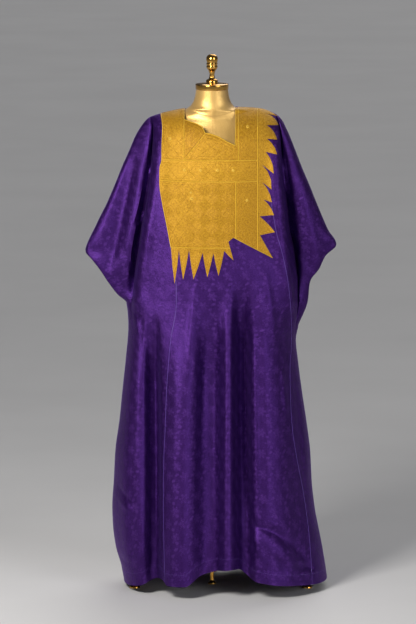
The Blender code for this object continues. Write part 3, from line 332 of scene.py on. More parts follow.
# Small creases of the cloth, each along a curve through three points (x, z): how far it stands out (or in,
# below 0), its half width, and how much wider it is on its other side.
CREASE_COLUMNS = ("side", "x1", "z1", "x2", "z2", "x3", "z3", "out", "width", "lean")
CREASES = (
    # Sleeves and the garment's edge beside them
    ("front", -0.261, 0.925, -0.234, 1.125, -0.189, 1.400, 0.013, 0.008, 3.6),
    ("front", -0.178, 1.400, -0.219, 1.130, -0.252, 0.890, -0.010, 0.007, 1.0),
    ("front", -0.169, 1.385, -0.207, 1.110, -0.243, 0.860, 0.032, 0.006, 5.0),
    ("front", -0.318, 0.975, -0.281, 1.110, -0.232, 1.330, -0.015, 0.013, 2.4),
    ("front", -0.275, 1.270, -0.325, 1.130, -0.368, 1.045, 0.004, 0.016, 1.0),
    ("front", 0.208, 1.415, 0.240, 1.190, 0.268, 0.930, -0.012, 0.010, 1.0),
    ("front", 0.248, 0.850, 0.218, 1.180, 0.200, 1.410, 0.043, 0.007, 5.0),
    ("front", 0.228, 1.420, 0.290, 1.170, 0.326, 0.985, 0.023, 0.026, 1.2),
    ("front", 0.272, 1.320, 0.331, 1.150, 0.362, 1.060, 0.008, 0.018, 1.0),
    ("back", -0.200, 1.400, -0.252, 1.132, -0.285, 0.960, 0.012, 0.015, 1.6),
    ("back", -0.190, 1.400, -0.215, 1.150, -0.244, 0.890, -0.012, 0.012, 1.0),
    ("back", -0.272, 1.260, -0.310, 1.130, -0.345, 1.005, -0.007, 0.014, 1.0),
    ("back", 0.204, 1.415, 0.227, 1.200, 0.255, 0.930, -0.012, 0.013, 1.0),
    ("back", 0.212, 1.400, 0.266, 1.200, 0.304, 1.000, 0.012, 0.014, 1.0),
    # Wrinkles under the wearer's left arm
    ("front", 0.238, 0.902, 0.265, 0.886, 0.292, 0.876, 0.008, 0.006, 1.0),
    ("front", 0.238, 0.872, 0.262, 0.857, 0.285, 0.850, -0.007, 0.006, 1.0),
    ("front", 0.238, 0.846, 0.258, 0.825, 0.275, 0.800, 0.007, 0.007, 1.0),
    ("front", 0.236, 0.800, 0.250, 0.782, 0.262, 0.750, -0.005, 0.007, 1.0),
    ("back", 0.238, 0.890, 0.262, 0.868, 0.288, 0.860, 0.007, 0.007, 1.0),
    ("back", 0.236, 0.850, 0.256, 0.828, 0.274, 0.815, -0.006, 0.007, 1.0),
    ("front", -0.244, 0.860, -0.232, 0.835, -0.224, 0.790, 0.005, 0.008, 1.0),
    # Long soft folds between the main ones, and the lines at the bottom of the deep ones
    ("front", -0.164, 0.040, -0.161, 0.450, -0.168, 0.860, -0.022, 0.006, 2.6),
    ("front", -0.052, 0.900, -0.042, 0.500, -0.044, 0.060, 0.011, 0.020, 1.0),
    ("front", 0.015, 0.060, 0.016, 0.480, 0.012, 0.900, -0.010, 0.009, 2.4),
    ("front", -0.232, 0.850, -0.268, 0.400, -0.256, 0.060, 0.016, 0.022, 1.0),
    ("front", 0.098, 0.960, 0.104, 0.500, 0.110, 0.240, -0.010, 0.008, 1.0),
    ("front", 0.210, 0.700, 0.221, 0.620, 0.228, 0.545, 0.006, 0.008, 1.0),
    ("front", 0.000, 0.900, -0.035, 0.520, -0.046, 0.110, -0.004, 0.012, 1.0),
    ("front", 0.130, 0.960, 0.146, 0.600, 0.150, 0.250, -0.006, 0.012, 1.4),
    ("front", -0.050, 0.960, -0.060, 0.850, -0.070, 0.720, 0.005, 0.010, 1.0),
    ("front", -0.212, 0.880, -0.214, 0.560, -0.210, 0.200, -0.006, 0.009, 1.0),
    ("front", 0.255, 0.760, 0.262, 0.560, 0.290, 0.260, -0.006, 0.012, 1.0),
    ("front", 0.158, 1.010, 0.176, 0.900, 0.190, 0.780, 0.005, 0.010, 1.0),
    ("back", -0.110, 1.160, -0.140, 0.800, -0.160, 0.300, -0.007, 0.014, 1.3),
    ("back", 0.070, 1.120, 0.075, 0.700, 0.085, 0.250, -0.007, 0.013, 1.2),
    ("back", 0.190, 1.060, 0.214, 0.700, 0.250, 0.220, 0.006, 0.014, 1.0),
    ("back", -0.060, 1.330, 0.000, 1.240, 0.050, 1.190, 0.004, 0.014, 1.0),
    ("back", 0.110, 1.350, 0.040, 1.270, -0.030, 1.230, -0.004, 0.012, 1.0),
    # The crumple at the wearer's left foot, and fainter ones at the right
    ("front", 0.112, 0.222, 0.207, 0.190, 0.308, 0.064, -0.011, 0.010, 1.6),
    ("front", 0.124, 0.190, 0.200, 0.150, 0.275, 0.085, 0.008, 0.024, 1.0),
    ("front", 0.122, 0.212, 0.137, 0.165, 0.160, 0.112, 0.006, 0.014, 1.0),
    ("front", 0.255, 0.105, 0.280, 0.086, 0.315, 0.076, -0.007, 0.008, 1.0),
    ("front", 0.190, 0.130, 0.215, 0.105, 0.225, 0.070, -0.006, 0.010, 1.0),
    ("front", -0.300, 0.345, -0.272, 0.312, -0.245, 0.286, -0.006, 0.008, 1.0),
    ("front", -0.300, 0.300, -0.270, 0.276, -0.240, 0.262, 0.005, 0.009, 1.0),
    ("front", -0.290, 0.120, -0.268, 0.092, -0.236, 0.100, -0.006, 0.010, 1.0),
    ("back", -0.240, 0.190, -0.200, 0.150, -0.150, 0.140, -0.006, 0.010, 1.0),
    ("back", 0.180, 0.150, 0.230, 0.110, 0.290, 0.100, 0.006, 0.012, 1.0),
)

# Each piece's cut before it was sewn: width, length and area, in metres.
CUTS = {
    "front_side_right_panel": (0.42, 1.44, 0.428),
    "front_centre_panel": (0.66, 1.46, 0.666),
    "front_side_left_panel": (0.36, 1.42, 0.236),
    "back_side_right_panel": (0.40, 1.44, 0.378),
    "back_centre_panel": (0.66, 1.46, 0.668),
    "back_side_left_panel": (0.36, 1.42, 0.215),
    "strap_right": (0.075, 0.185, 0.0136),
    "neck_gusset": (0.070, 0.135, 0.0050),
    "neck_piece": (0.165, 0.095, 0.0093),
    "strap_left": (0.075, 0.185, 0.0134),
    "chest_band": (0.30, 0.068, 0.0198),
    "lower_panel": (0.24, 0.205, 0.0436),
    "lower_corner": (0.070, 0.21, 0.0129),
    "band_left": (0.075, 0.53, 0.0200),
    "foot_teeth": (0.20, 0.12, 0.0099),
}

# Light and view. The camera stands far off, as the photo's long lens does.
SENSOR = 36.0
CAMERA_FAR = 14.0
CAMERA_RISE = 8.5
CAMERA_AIM = (-0.0122, 0.0, 0.848)
VIEW_HEIGHT = 1.91
WORLD_LIGHT = 0.075
WORLD_COLOUR = (0.9, 0.93, 1.0, 1.0)
# Lamps as name, kind, place, aim, size (or angle), strength and colour.
LIGHTS = (
    ("key", "AREA", (-1.40, -2.50, 2.50), (0.0, 0.0, 1.15), 0.90, 104.0, (1.0, 0.97, 0.93)),
    ("fill", "SUN", (3.0, -3.2, 2.0), (0.0, 0.0, 0.9), 0.5, 0.95, (0.97, 0.97, 1.0)),
    ("back", "SUN", (1.0, 3.0, 3.4), (0.0, 0.0, 1.0), 0.8, 1.0, (1.0, 0.98, 0.96)),
)


def smooth(at, keys, values):
    """Values between a table's rows, by cubic pieces that never pass beyond a row."""
    keys = np.asarray(keys, float)
    values = np.asarray(values, float)
    step = np.diff(keys)
    slope = np.diff(values) / step
    tangent = np.zeros(len(keys))
    before = slope[:-1]
    after = slope[1:]
    same = before * after > 0
    safe_before = np.where(same, before, 1.0)
    safe_after = np.where(same, after, 1.0)
    near = 2 * step[1:] + step[:-1]
    far = step[1:] + 2 * step[:-1]
    tangent[1:-1] = np.where(same, (near + far) / (near / safe_before + far / safe_after), 0.0)
    tangent[0] = slope[0]
    tangent[-1] = slope[-1]
    at = np.clip(at, keys[0], keys[-1])
    i = np.clip(np.searchsorted(keys, at) - 1, 0, len(keys) - 2)
    t = (at - keys[i]) / step[i]
    start = (1 + 2 * t) * (1 - t) ** 2 * values[i] + t * (1 - t) ** 2 * step[i] * tangent[i]
    end = t * t * (3 - 2 * t) * values[i + 1] - t * t * (1 - t) * step[i] * tangent[i + 1]
    return start + end


def ramp(at, start, end):
    """0 at start and beyond it, 1 at end and beyond it, smooth between."""
    t = np.clip((at - start) / (end - start), 0.0, 1.0)
    return t * t * (3 - 2 * t)


def rounded(share):
    """The height of a quarter circle at this share of its width."""
    share = np.clip(share, 0.0, 1.0)
    return np.sqrt(share * (2 - share))


def unit(vectors):
    """The same directions, each with the length 1."""
    return vectors / np.maximum(np.linalg.norm(vectors, axis=-1, keepdims=True), TINY)


def level_at(level):
    """Every column of LEVELS at these levels, by name."""
    table = np.array(LEVELS)
    return {name: smooth(level, table[:, 0], table[:, i]) for i, name in enumerate(LEVEL_COLUMNS)}


def shoulder_height(share):
    """The shoulder line's height at a share of the way across."""
    table = np.array(SHOULDER_LINE)
    return smooth(share, table[:, 0], table[:, 1])


def form_depth(side, x, z):
    """How far the form reaches to the front or the back at x and z, or less than 0 beside it."""
    rings = np.array(FORM)
    left, right, front, back, power = (np.interp(z, rings[:, 0], rings[:, i]) for i in range(1, 6))
    half = np.where(x < 0, left, right)
    deep = front if side == "front" else back
    share = np.abs(x) / half
    inside = (share < 1) & (z > rings[0, 0]) & (z < rings[-1, 0])
    round_part = np.clip(1 - np.minimum(share, 1) ** power, 0, 1) ** (1 / power)
    return np.where(inside, deep * round_part, -1.0)


def clear_of_form(side, x, z):
    """The least depth that keeps the cloth clear of the form, beside it and above it."""
    beside = form_depth(side, x, z) + FORM_CLEAR
    above = form_depth(side, x, z - FORM_CLEAR) + FORM_CLEAR / 2
    outer = form_depth(side, x * (1 - FORM_CLEAR / FORM_REACH), z - FORM_CLEAR / 2) + FORM_CLEAR
    return np.maximum(np.maximum(beside, above), outer)


def along_fold(fold, z, low, middle, top):
    """What a fold has at these heights, between its columns for the foot, the middle and the top."""
    keys = (fold["z_low"], fold["z_mid"], fold["z_top"])
    return smooth(z, keys, (fold[low], fold[middle], fold[top]))


def fold_reach(side, x, z):
    """How far the folds bring the cloth out at x and z."""
    total = np.zeros_like(x)
    for row in FOLDS:
        fold = dict(zip(FOLD_COLUMNS, row))
        if fold["side"] != side:
            continue
        line = along_fold(fold, z, "x_low", "x_mid", "x_top")
        out = along_fold(fold, z, "out_low", "out_mid", "out_mid")
        out = out * ramp(z, fold["z_top"], fold["z_top"] - fold["grow"])
        total += out * np.exp(-(np.abs((x - line) / fold["width"]) ** FOLD_FLATNESS))
    return total


def line_stack(side, level):
    """The x of every line across at these levels. Above its fold, a line keeps its share of the panel."""
    at = level_at(level)
    folds = {row[0]: dict(zip(FOLD_COLUMNS, row)) for row in FOLDS}
    stack = []
    for name, _ in LINES[side]:
        if name not in folds:
            stack.append(at[name])
            continue
        fold = folds[name]
        beside = fold["x_mid"] < level_at(fold["z_mid"])["seam_l"]
        first, last = ("valley_l", "seam_l") if beside else ("seam_l", "seam_r")
        below = np.minimum(level, fold["z_top"])
        there = level_at(below)
        line = along_fold(fold, below, "x_low", "x_mid", "x_top")
        share = (line - there[first]) / (there[last] - there[first])
        stack.append(at[first] + share * (at[last] - at[first]))
    return np.stack(stack, axis=-1)


def across_places(side):
    """Places across, denser toward both outer ends, and the column of each line by name."""
    lines = LINES[side]
    places = []
    columns = {}
    for k, (name, count) in enumerate(lines):
        columns[name] = len(places)
        steps = max(count * FINE_TIMES, FINE_LEAST) if count else 0
        share = np.arange(steps) / max(steps, 1)
        if k == 0:
            share = share**END_POWER
        if k == len(lines) - 2:
            share = 1 - (1 - share) ** END_POWER
        places += list(k + share)
    places.append(len(lines) - 1.0)
    return np.array(places), columns


def across_x(side, level, across):
    """The x of these places across on these levels."""
    stack = line_stack(side, level)
    across = across[None, :] + 0 * level
    low = np.clip(np.floor(across).astype(int), 0, stack.shape[-1] - 2)
    left = np.take_along_axis(stack, low[..., None], -1)[..., 0]
    right = np.take_along_axis(stack, low[..., None] + 1, -1)[..., 0]
    return left + (across - low) * (right - left)


def depth_at(side, x, level, z):
    """How far the cloth stands from the seam plane at x on this level."""
    at = level_at(level)
    width = at["right_x"] - at["left_x"]
    deep = at["front"] if side == "front" else at["back"]
    centre = (at["right_x"] + at["left_x"]) / 2
    q = np.abs(x - centre) / (width / 2)
    plain = deep * np.clip(1 - q**RING_POWER, 0, 1) ** (1 / RING_POWER)
    body_centre = (at["valley_l"] + at["valley_r"]) / 2
    body_half = (at["valley_r"] - at["valley_l"]) / 2
    q_body = np.clip(np.abs(x - body_centre) / body_half, 0, 1)
    body = VALLEY_DEPTH + (deep - VALLEY_DEPTH) * (1 - q_body**RING_POWER) ** (1 / RING_POWER)
    edge = np.minimum(x - at["left_x"], at["right_x"] - x)
    near_left = x < centre
    sleeve_width = np.where(near_left, at["valley_l"] - at["left_x"], at["right_x"] - at["valley_r"])
    into = np.clip(edge / np.maximum(sleeve_width, 1e-6), 0, 1)
    sleeve_deep = np.maximum(at["sleeve"], VALLEY_DEPTH)
    slope = np.minimum(into / SLEEVE_CREST, 1.0)
    slope = (1 - SLEEVE_SWELL) * slope + SLEEVE_SWELL * np.sin(slope * math.pi / 2)
    rise = SLEEVE_LIP * rounded(edge / SLEEVE_ROUND) + (1 - SLEEVE_LIP) * slope
    hang = at["cuff"] + (sleeve_deep - at["cuff"]) * rise
    inward = np.clip((into - SLEEVE_CREST) / (1 - SLEEVE_CREST), 0, 1)
    sleeve = hang + (VALLEY_DEPTH - hang) * (1 - np.cos(inward * math.pi / 2))
    on_body = (x > at["valley_l"]) & (x < at["valley_r"])
    joined = ramp(level, *SLEEVE_BLEND)
    depth = plain * joined + np.where(on_body, body, sleeve) * (1 - joined)
    end_share = np.clip(1 - q**FOLD_END_POWER, 0, 1)
    near_end = rounded(edge / CREASE_END)
    depth = depth + fold_reach(side, x, z) * end_share + crease_reach(side, x, z) * near_end
    depth = depth * rounded((SHOULDER_Z - level) / SHOULDER_ROUND)
    depth = np.maximum(depth, clear_of_form(side, x, z))
    return np.where(level >= SHOULDER_Z - 1e-9, 0.0, depth)


def height_at(side, x, level):
    """The height of the cloth at x on this level."""
    at = level_at(level)
    share = (x - at["left_x"]) / (at["right_x"] - at["left_x"])
    chord, top_chord, low_chord = (
        row["left_z"] + share * (row["right_z"] - row["left_z"]) for row in (at, TOP, LOW)
    )
    arch = ramp(level, SHOULDER_FADE_Z, SHOULDER_Z) * (shoulder_height(share) - top_chord)
    table = np.array(HEM[side])
    hem_x = LOW["left_x"] + share * (LOW["right_x"] - LOW["left_x"])
    hem = (smooth(hem_x, table[:, 0], table[:, 1]) - low_chord) * ramp(level, HEM_FADE_Z, LOW["level"])
    return chord + arch + hem


def cloth_point(side, x, level):
    """The middle of the cloth at x on this level."""
    z = height_at(side, x, level)
    return np.stack([x, OUT[side] * (depth_at(side, x, level, z) + SEAM / 2), z], axis=-1)


def crease_reach(side, x, z):
    """How far the small creases bring the cloth out at x and z."""
    total = np.zeros_like(x)
    for row in CREASES:
        crease = dict(zip(CREASE_COLUMNS, row))
        if crease["side"] != side:
            continue
        ends = np.array([(crease["x" + k], crease["z" + k]) for k in "123"])
        reach = CREASE_REACH * crease["width"] * max(1.0, crease["lean"])
        near = np.ones(x.shape, bool)
        for place, values in ((x, ends[:, 0]), (z, ends[:, 1])):
            near &= np.abs(place - (values.max() + values.min()) / 2) < np.ptp(values) / 2 + reach
        if not near.any():
            continue
        share = np.linspace(0, 1, CREASE_STEPS + 1)[:, None]
        first = (1 - share) * (1 - 2 * share)
        second = 4 * share * (1 - share)
        third = share * (2 * share - 1)
        line = first * ends[0] + second * ends[1] + third * ends[2]
        least, where, beside = beside_line(np.stack([x[near], z[near]], axis=-1), line)
        fade = np.clip(4 * where * (1 - where), 0, 1) ** CREASE_FADE
        wide = np.where(beside > 0, 1.0, crease["lean"]) * crease["width"]
        wide = wide * (CREASE_TIP + (1 - CREASE_TIP) * fade)
        total[near] += crease["out"] * fade * np.exp(-((least / wide) ** 2))
    return total


def beside_line(at, line):
    """How far points are from a bent line, at what share of its length, and on which side of it."""
    least = np.full(len(at), FAR)
    where = np.zeros(len(at))
    beside = np.zeros(len(at))
    for k, (start, along) in enumerate(zip(line, np.diff(line, axis=0))):
        part = np.clip(((at - start) @ along) / (along @ along), 0, 1)
        apart = at - start - part[:, None] * along
        far = np.hypot(apart[:, 0], apart[:, 1])
        closer = far < least
        least = np.where(closer, far, least)
        where = np.where(closer, (k + part) / (len(line) - 1), where)
        beside = np.where(closer, apart[:, 0] * along[1] - apart[:, 1] * along[0], beside)
    return least, where, beside


def arc_level(arc):
    """The level at this way up the cloth, which runs evenly over the round of the shoulder."""
    start = SHOULDER_Z - SHOULDER_ROUND
    turn = np.clip((arc - start) / SHOULDER_ROUND, 0, math.pi / 2)
    return np.where(arc < start, arc, start + SHOULDER_ROUND * np.sin(turn))


def level_arc(level):
    """The way up the cloth at this level."""
    start = SHOULDER_Z - SHOULDER_ROUND
    rise = np.clip((level - start) / SHOULDER_ROUND, 0, 1)
    return np.where(level < start, level, start + SHOULDER_ROUND * np.arcsin(rise))


ARC_TOP = SHOULDER_Z - SHOULDER_ROUND + SHOULDER_ROUND * math.pi / 2


def level_of(side, x, z):
    """The level whose cloth is at height z at x, found by halving."""
    low = np.full(x.shape, LOW["level"])
    high = np.full(x.shape, TOP["level"])
    for _ in range(HALVINGS):
        middle = (low + high) / 2
        under = height_at(side, x, middle) < z
        low = np.where(under, middle, low)
        high = np.where(under, high, middle)
    return (low + high) / 2


def facing(side, x, arc):
    """Points of the cloth at x and this way up, and the directions it faces there."""
    low = arc_level(np.clip(arc - FACING_STEP, LOW["level"], ARC_TOP))
    high = arc_level(np.clip(arc + FACING_STEP, LOW["level"], ARC_TOP))
    level = arc_level(arc)
    up = cloth_point(side, x, high) - cloth_point(side, x, low)
    across = cloth_point(side, x + FACING_STEP, level) - cloth_point(side, x - FACING_STEP, level)
    normal = np.cross(across, up) * -OUT[side]
    normal[..., 1] = np.where(arc > ARC_TOP - 1e-6, 0.0, normal[..., 1])
    return cloth_point(side, x, level), unit(normal)


def in_seam_plane(line):
    """Directions at right angles to these, in the plane where front and back meet."""
    return unit(np.stack([-line[:, 2], 0 * line[:, 0], line[:, 0]], axis=-1))


def grid_normals(side, points, levels):
    """Unit normals of a sheet's points. Where it is joined at its rim, they lie in the plane of the seam."""
    along = np.gradient(points, axis=1)
    down = np.gradient(points, axis=0)
    normal = np.cross(along, down)
    middle = normal[len(levels) // 2, points.shape[1] // 2, 1]
    normal = unit(normal * np.sign(middle) * OUT[side])
    joined_here = (levels <= JOINED_BELOW) | (levels >= JOINED_ABOVE)
    for column, inward in ((0, 1.0), (-1, -1.0)):
        flat = in_seam_plane(down[:, column]) * inward
        normal[joined_here, column] = flat[joined_here]
    flat = in_seam_plane(along[-1])
    normal[-1, 1:-1] = flat[1:-1]
    for column in (0, -1):
        normal[-1, column] = unit(normal[-1, column] + flat[column])
    return normal


def add_piece(name, points, faces, material, uv=None, edge=None, smooth_below=50):
    """A mesh that rides on the frame, with its material, its flat coordinates and its sharp edges."""
    mesh = bpy.data.meshes.new(name)
    corners = np.asarray(faces, object).tolist()
    mesh.from_pydata(np.asarray(points).tolist(), [], [tuple(face) for face in corners])
    if uv is not None:
        corner = np.empty(len(mesh.loops), np.int32)
        mesh.loops.foreach_get("vertex_index", corner)
        layer = mesh.uv_layers.new(name="flat")
        layer.data.foreach_set("uv", np.asarray(uv, np.float32)[corner].ravel())
    if edge is not None:
        mesh.attributes.new("edge", "FLOAT", "POINT").data.foreach_set("value", np.asarray(edge, np.float32))
    mesh.shade_smooth()
    mesh.set_sharp_from_angle(angle=math.radians(smooth_below))
    mesh.materials.append(material)
    obj = bpy.data.objects.new(name, mesh)
    bpy.context.scene.collection.objects.link(obj)
    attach(obj, "root")
    return obj


def shell_faces(rows, columns):
    """Faces of a closed shell between two grids of points."""
    index = np.arange(rows * columns).reshape(rows, columns)
    count = rows * columns
    a, b = index[:-1, :-1].ravel(), index[:-1, 1:].ravel()
    c, d = index[1:, 1:].ravel(), index[1:, :-1].ravel()
    outer = np.stack([a, b, c, d], axis=1)
    inner = np.stack([a, d, c, b], axis=1) + count
    rim = np.concatenate([index[0, :], index[1:, -1], index[-1, -2::-1], index[-2:0:-1, 0]])
    after = np.roll(rim, -1)
    return np.concatenate([outer, inner, np.stack([after, rim, rim + count, after + count], axis=1)])


def swollen(start, end, swell, count):
    """Points after start up to end, along a line that swells to its left side by a share of its length."""
    across, up = end[0] - start[0], end[1] - start[1]
    line = []
    for k in range(1, count + 1):
        share = k / count
        out = 4 * share * (1 - share) * swell
        line.append((start[0] + across * share - up * out, start[1] + up * share + across * out))
    return line


def plastron_left(z):
    """The x of the plastron's left edge at these heights."""
    left = np.array((PLASTRON_LEFT_FOOT, *PLASTRON_LEFT))
    return smooth(z, left[:, 0], left[:, 1])


def plastron_outlines():
    """The outline of each plastron piece in X and Z, 0.3 mm apart at their seams."""
    half = SEAM / 2

    def left_edge(z_low, z_top, count):
        z = np.linspace(z_low, z_top, count)
        return [*zip(plastron_left(z).tolist(), z.tolist())]

    def neck(first, last):
        return [point for point in NECKLINE if first <= point[0] <= last]

    tip_x, tip_z = SIDE_TEETH[-1][2:4]
    slope = (tip_z - INNER_CORNER[1]) / (tip_x - INNER_CORNER[0])

    def low_edge(x):
        return x, INNER_CORNER[1] + (x - INNER_CORNER[0]) * slope

    gusset_foot = (STRAP_SEAM_X + 2 * half, CHEST_TOP_Z + half)
    outlines = {
        "strap_right": [
            *left_edge(CHEST_TOP_Z + half, PLASTRON_LEFT[-1][0], 7), (PLASTRON_LEFT[-1][1], TOP_Z),
            (STRAP_SEAM_X - half, TOP_Z), (STRAP_SEAM_X - half, CHEST_TOP_Z + half),
        ],
        "neck_gusset": [
            gusset_foot, (STRAP_SEAM_X + half, NECKLINE[1][1]), *neck(NECKLINE[1][0], GUSSET_CORNER[0]),
            (GUSSET_CORNER[0] - SEAM, GUSSET_CORNER[1]),
        ],
        "neck_piece": [
            (gusset_foot[0] + 3 * SEAM, gusset_foot[1]), (GUSSET_CORNER[0] + SEAM, GUSSET_CORNER[1]),
            *neck(GUSSET_CORNER[0], NECKLINE[-2][0]), (NECK_SEAM_X - half, NECKLINE[-2][1]),
            (NECK_SEAM_X - half, CHEST_TOP_Z + half),
        ],
        "strap_left": [
            (LOWER_SEAM_X, TOP_Z), (LOWER_SEAM_X, NECKLINE[-2][1] + SEAM),
            (NECK_SEAM_X + half, NECKLINE[-2][1] + SEAM), (NECK_SEAM_X + half, CHEST_TOP_Z + half),
            (BAND_SEAM_X - half, CHEST_TOP_Z + half), (BAND_SEAM_X - half, TOP_Z),
        ],
        "chest_band": [
            *left_edge(CHEST_LOW_Z + half, CHEST_TOP_Z - half, 4), (BAND_SEAM_X - half, CHEST_TOP_Z - half),
            (BAND_SEAM_X - half, CHEST_LOW_Z + half),
        ],
        "lower_panel": [
            *left_edge(TEETH_SEAM_Z + half, CHEST_LOW_Z - half, 7), (LOWER_SEAM_X - half, CHEST_LOW_Z - half),
            low_edge(LOWER_SEAM_X - half), INNER_CORNER, LAST_NOTCH, (FOOT_TEETH[-1][2], TEETH_SEAM_Z + half),
        ],
        "lower_corner": [
            low_edge(LOWER_SEAM_X + half), (LOWER_SEAM_X + half, CHEST_LOW_Z - half),
            (BAND_SEAM_X - half, CHEST_LOW_Z - half), low_edge(BAND_SEAM_X - half),
        ],
    }
    band = [(BAND_SEAM_X + half, TOP_Z), (SIDE_TEETH[0][0], TOP_Z)]
    for notch_x, notch_z, tip_x, tip_z, swell in SIDE_TEETH:
        steps = 3 if swell > STRAIGHT_SWELL else 1
        band += [(notch_x, notch_z), *swollen((notch_x, notch_z), (tip_x, tip_z), swell, steps)]
    outlines["band_left"] = [*band, low_edge(BAND_SEAM_X + half)]
    last = (PLASTRON_LEFT_FOOT[1], TEETH_SEAM_Z - half)
    teeth = [last]
    for tip_x, tip_z, notch_x, notch_z in FOOT_TEETH:
        teeth += swollen(last, (tip_x, tip_z), -FOOT_SWELL, 2)
        last = (notch_x, notch_z)
        teeth += swollen((tip_x, tip_z), last, -FOOT_SWELL, 2)
    outlines["foot_teeth"] = [*teeth[:-1], (FOOT_TEETH[-1][2], TEETH_SEAM_Z - half)]
    return outlines


def new_node(tree, kind, inputs):
    """A node of this kind. Each of its inputs named here is set to a number or linked to a field."""
    node = tree.nodes.new("ShaderNode" + kind)
    for place, value in inputs.items():
        if isinstance(value, Field):
            tree.links.new(value.socket, node.inputs[place])
        else:
            node.inputs[place].default_value = value
    return node


class Field:
    """A value that varies over a surface, as a socket in a material, with arithmetic."""

    def __init__(self, tree, socket):
        self.tree = tree
        self.socket = socket

    def op(self, kind, *others):
        node = new_node(self.tree, "Math", dict(enumerate((self, *others))))
        node.operation = kind
        return Field(self.tree, node.outputs[0])

    def __add__(self, other):
        return self.op("ADD", other)

    def __sub__(self, other):
        return self.op("SUBTRACT", other)

    def __mul__(self, other):
        return self.op("MULTIPLY", other)

    def sin(self):
        return self.op("SINE")

    def cos(self):
        return self.op("COSINE")

    def wave(self, length):
        """A wave from -1 to 1 that comes again at this length."""
        return (self * (TURN / length)).sin()

    def bigger(self, other):
        return self.op("MAXIMUM", other)

    def size(self):
        return self.op("ABSOLUTE")

    def wrap(self, low, high):
        return self.op("WRAP", high, low)

    def step_up(self, low, high):
        """0 below low, 1 above high, smooth between."""
        node = new_node(self.tree, "MapRange", {"Value": self, "From Min": low, "From Max": high})
        node.interpolation_type = "SMOOTHSTEP"
        return Field(self.tree, node.outputs["Result"])


class Finish:
    """A material being made: its shader, its flat coordinates and its noises."""

    def __init__(self, name, **values):
        self.material = bpy.data.materials.new(name)
        self.material.use_nodes = True
        self.tree = self.material.node_tree
        self.shader = self.tree.nodes["Principled BSDF"]
        for key, value in values.items():
            self.shader.inputs[key.replace("_", " ").title()].default_value = value

    def axes(self, socket, names):
        """The numbers of this vector, one field for each name."""
        split = new_node(self.tree, "SeparateXYZ", {0: Field(self.tree, socket)})
        return [Field(self.tree, split.outputs[name]) for name in names]

    def flat(self):
        """The two flat coordinates along the cloth, in metres."""
        node = new_node(self.tree, "UVMap", {})
        node.uv_map = "flat"
        return self.axes(node.outputs["UV"], "XY")

    def solid(self):
        """The three coordinates in the frame, in metres."""
        return self.axes(new_node(self.tree, "TexCoord", {}).outputs["Object"], "XYZ")

    def noise(self, where, scale, detail=2.0, rough=0.5):
        """Noise from 0 to 1 at these two or three coordinates."""
        vector = Field(self.tree, new_node(self.tree, "CombineXYZ", dict(enumerate(where))).outputs[0])
        inputs = {"Scale": scale, "Detail": detail, "Roughness": rough, "Vector": vector}
        return Field(self.tree, new_node(self.tree, "TexNoise", inputs).outputs["Fac"])

    def attribute(self, name):
        """A number that the mesh keeps for each of its points."""
        node = new_node(self.tree, "Attribute", {})
        node.attribute_name = name
        return Field(self.tree, node.outputs["Fac"])

    def colour(self, by, *stops):
        """Colours spread over a field from 0 to 1."""
        node = new_node(self.tree, "ValToRGB", {0: by})
        elements = node.color_ramp.elements
        while len(elements) < len(stops):
            elements.new(0.5)
        for element, (place, colour) in zip(elements, stops):
            element.position = place
            element.color = (*colour, 1.0)
        self.tree.links.new(node.outputs[0], self.shader.inputs["Base Color"])

    def rough(self, field):
        self.tree.links.new(field.socket, self.shader.inputs["Roughness"])

    def bump(self, height, strength, distance):
        node = new_node(self.tree, "Bump", {"Strength": strength, "Distance": distance, "Height": height})
        self.tree.links.new(node.outputs[0], self.shader.inputs["Normal"])


def damask_finish():
    """Violet satin damask: sprigs of leaves in a half-drop repeat, in nearly the colour of the ground."""
    finish = Finish(
        "violet_damask", roughness=0.5, metallic=0.72, sheen_weight=0.06, sheen_roughness=0.4,
        sheen_tint=(0.42, 0.25, 0.95, 1.0), specular_tint=(0.75, 0.55, 1.0, 1.0),
    )
    u, v = finish.flat()
    sway = finish.noise((u, v), 24.0, 2.0) - 0.5
    u = u + sway * 0.010
    v = v + sway * 0.012
    wide, tall = 0.052, 0.064
    figure = None
    for drop in (0.0, 0.5):
        a = (u + wide * drop).wrap(-wide / 2, wide / 2)
        b = (v + tall * drop).wrap(-tall / 2, tall / 2)
        far = (a * a + b * b).op("SQRT")
        angle = b.op("ARCTAN2", a)
        petals = (angle * 3.0).cos().size() * 0.0095 + 0.0050
        vein = (far * (TURN / 0.0042)).cos().step_up(-0.7, 0.2)
        shape = (petals - far).step_up(-0.0012, 0.0012) * vein
        figure = shape if figure is None else figure.bigger(shape)
    stem = (u + v.wave(tall) * 0.007).wrap(-wide / 2, wide / 2).size()
    leaves = v.wave(tall / 4) * 0.0024 + 0.0012
    figure = figure.bigger((leaves - (stem - 0.002).size()).step_up(-0.0008, 0.0008))
    twill = (u + v * 0.6).wave(0.0016)
    slub = finish.noise((u * 170.0, v * 300.0), 1.0, 3.0, 0.6)
    cloud = finish.noise((u, v), 42.0, 4.0, 0.7)
    crush = finish.noise((u * 60.0, v * 26.0), 1.0, 4.0, 0.62)
    finish.colour(
        figure * 0.22 + slub * 0.52 + cloud * 0.44 - 0.16,
        (0.0, (0.016, 0.003, 0.055)), (0.45, (0.056, 0.014, 0.150)), (1.0, (0.140, 0.050, 0.300)),
    )
    finish.rough(figure * 0.10 + slub * 0.12 + 0.37)
    finish.bump(figure * 0.18 + twill * 0.05 + slub * 0.52 + crush * 0.7, 0.7, 0.0016)
    return finish.material


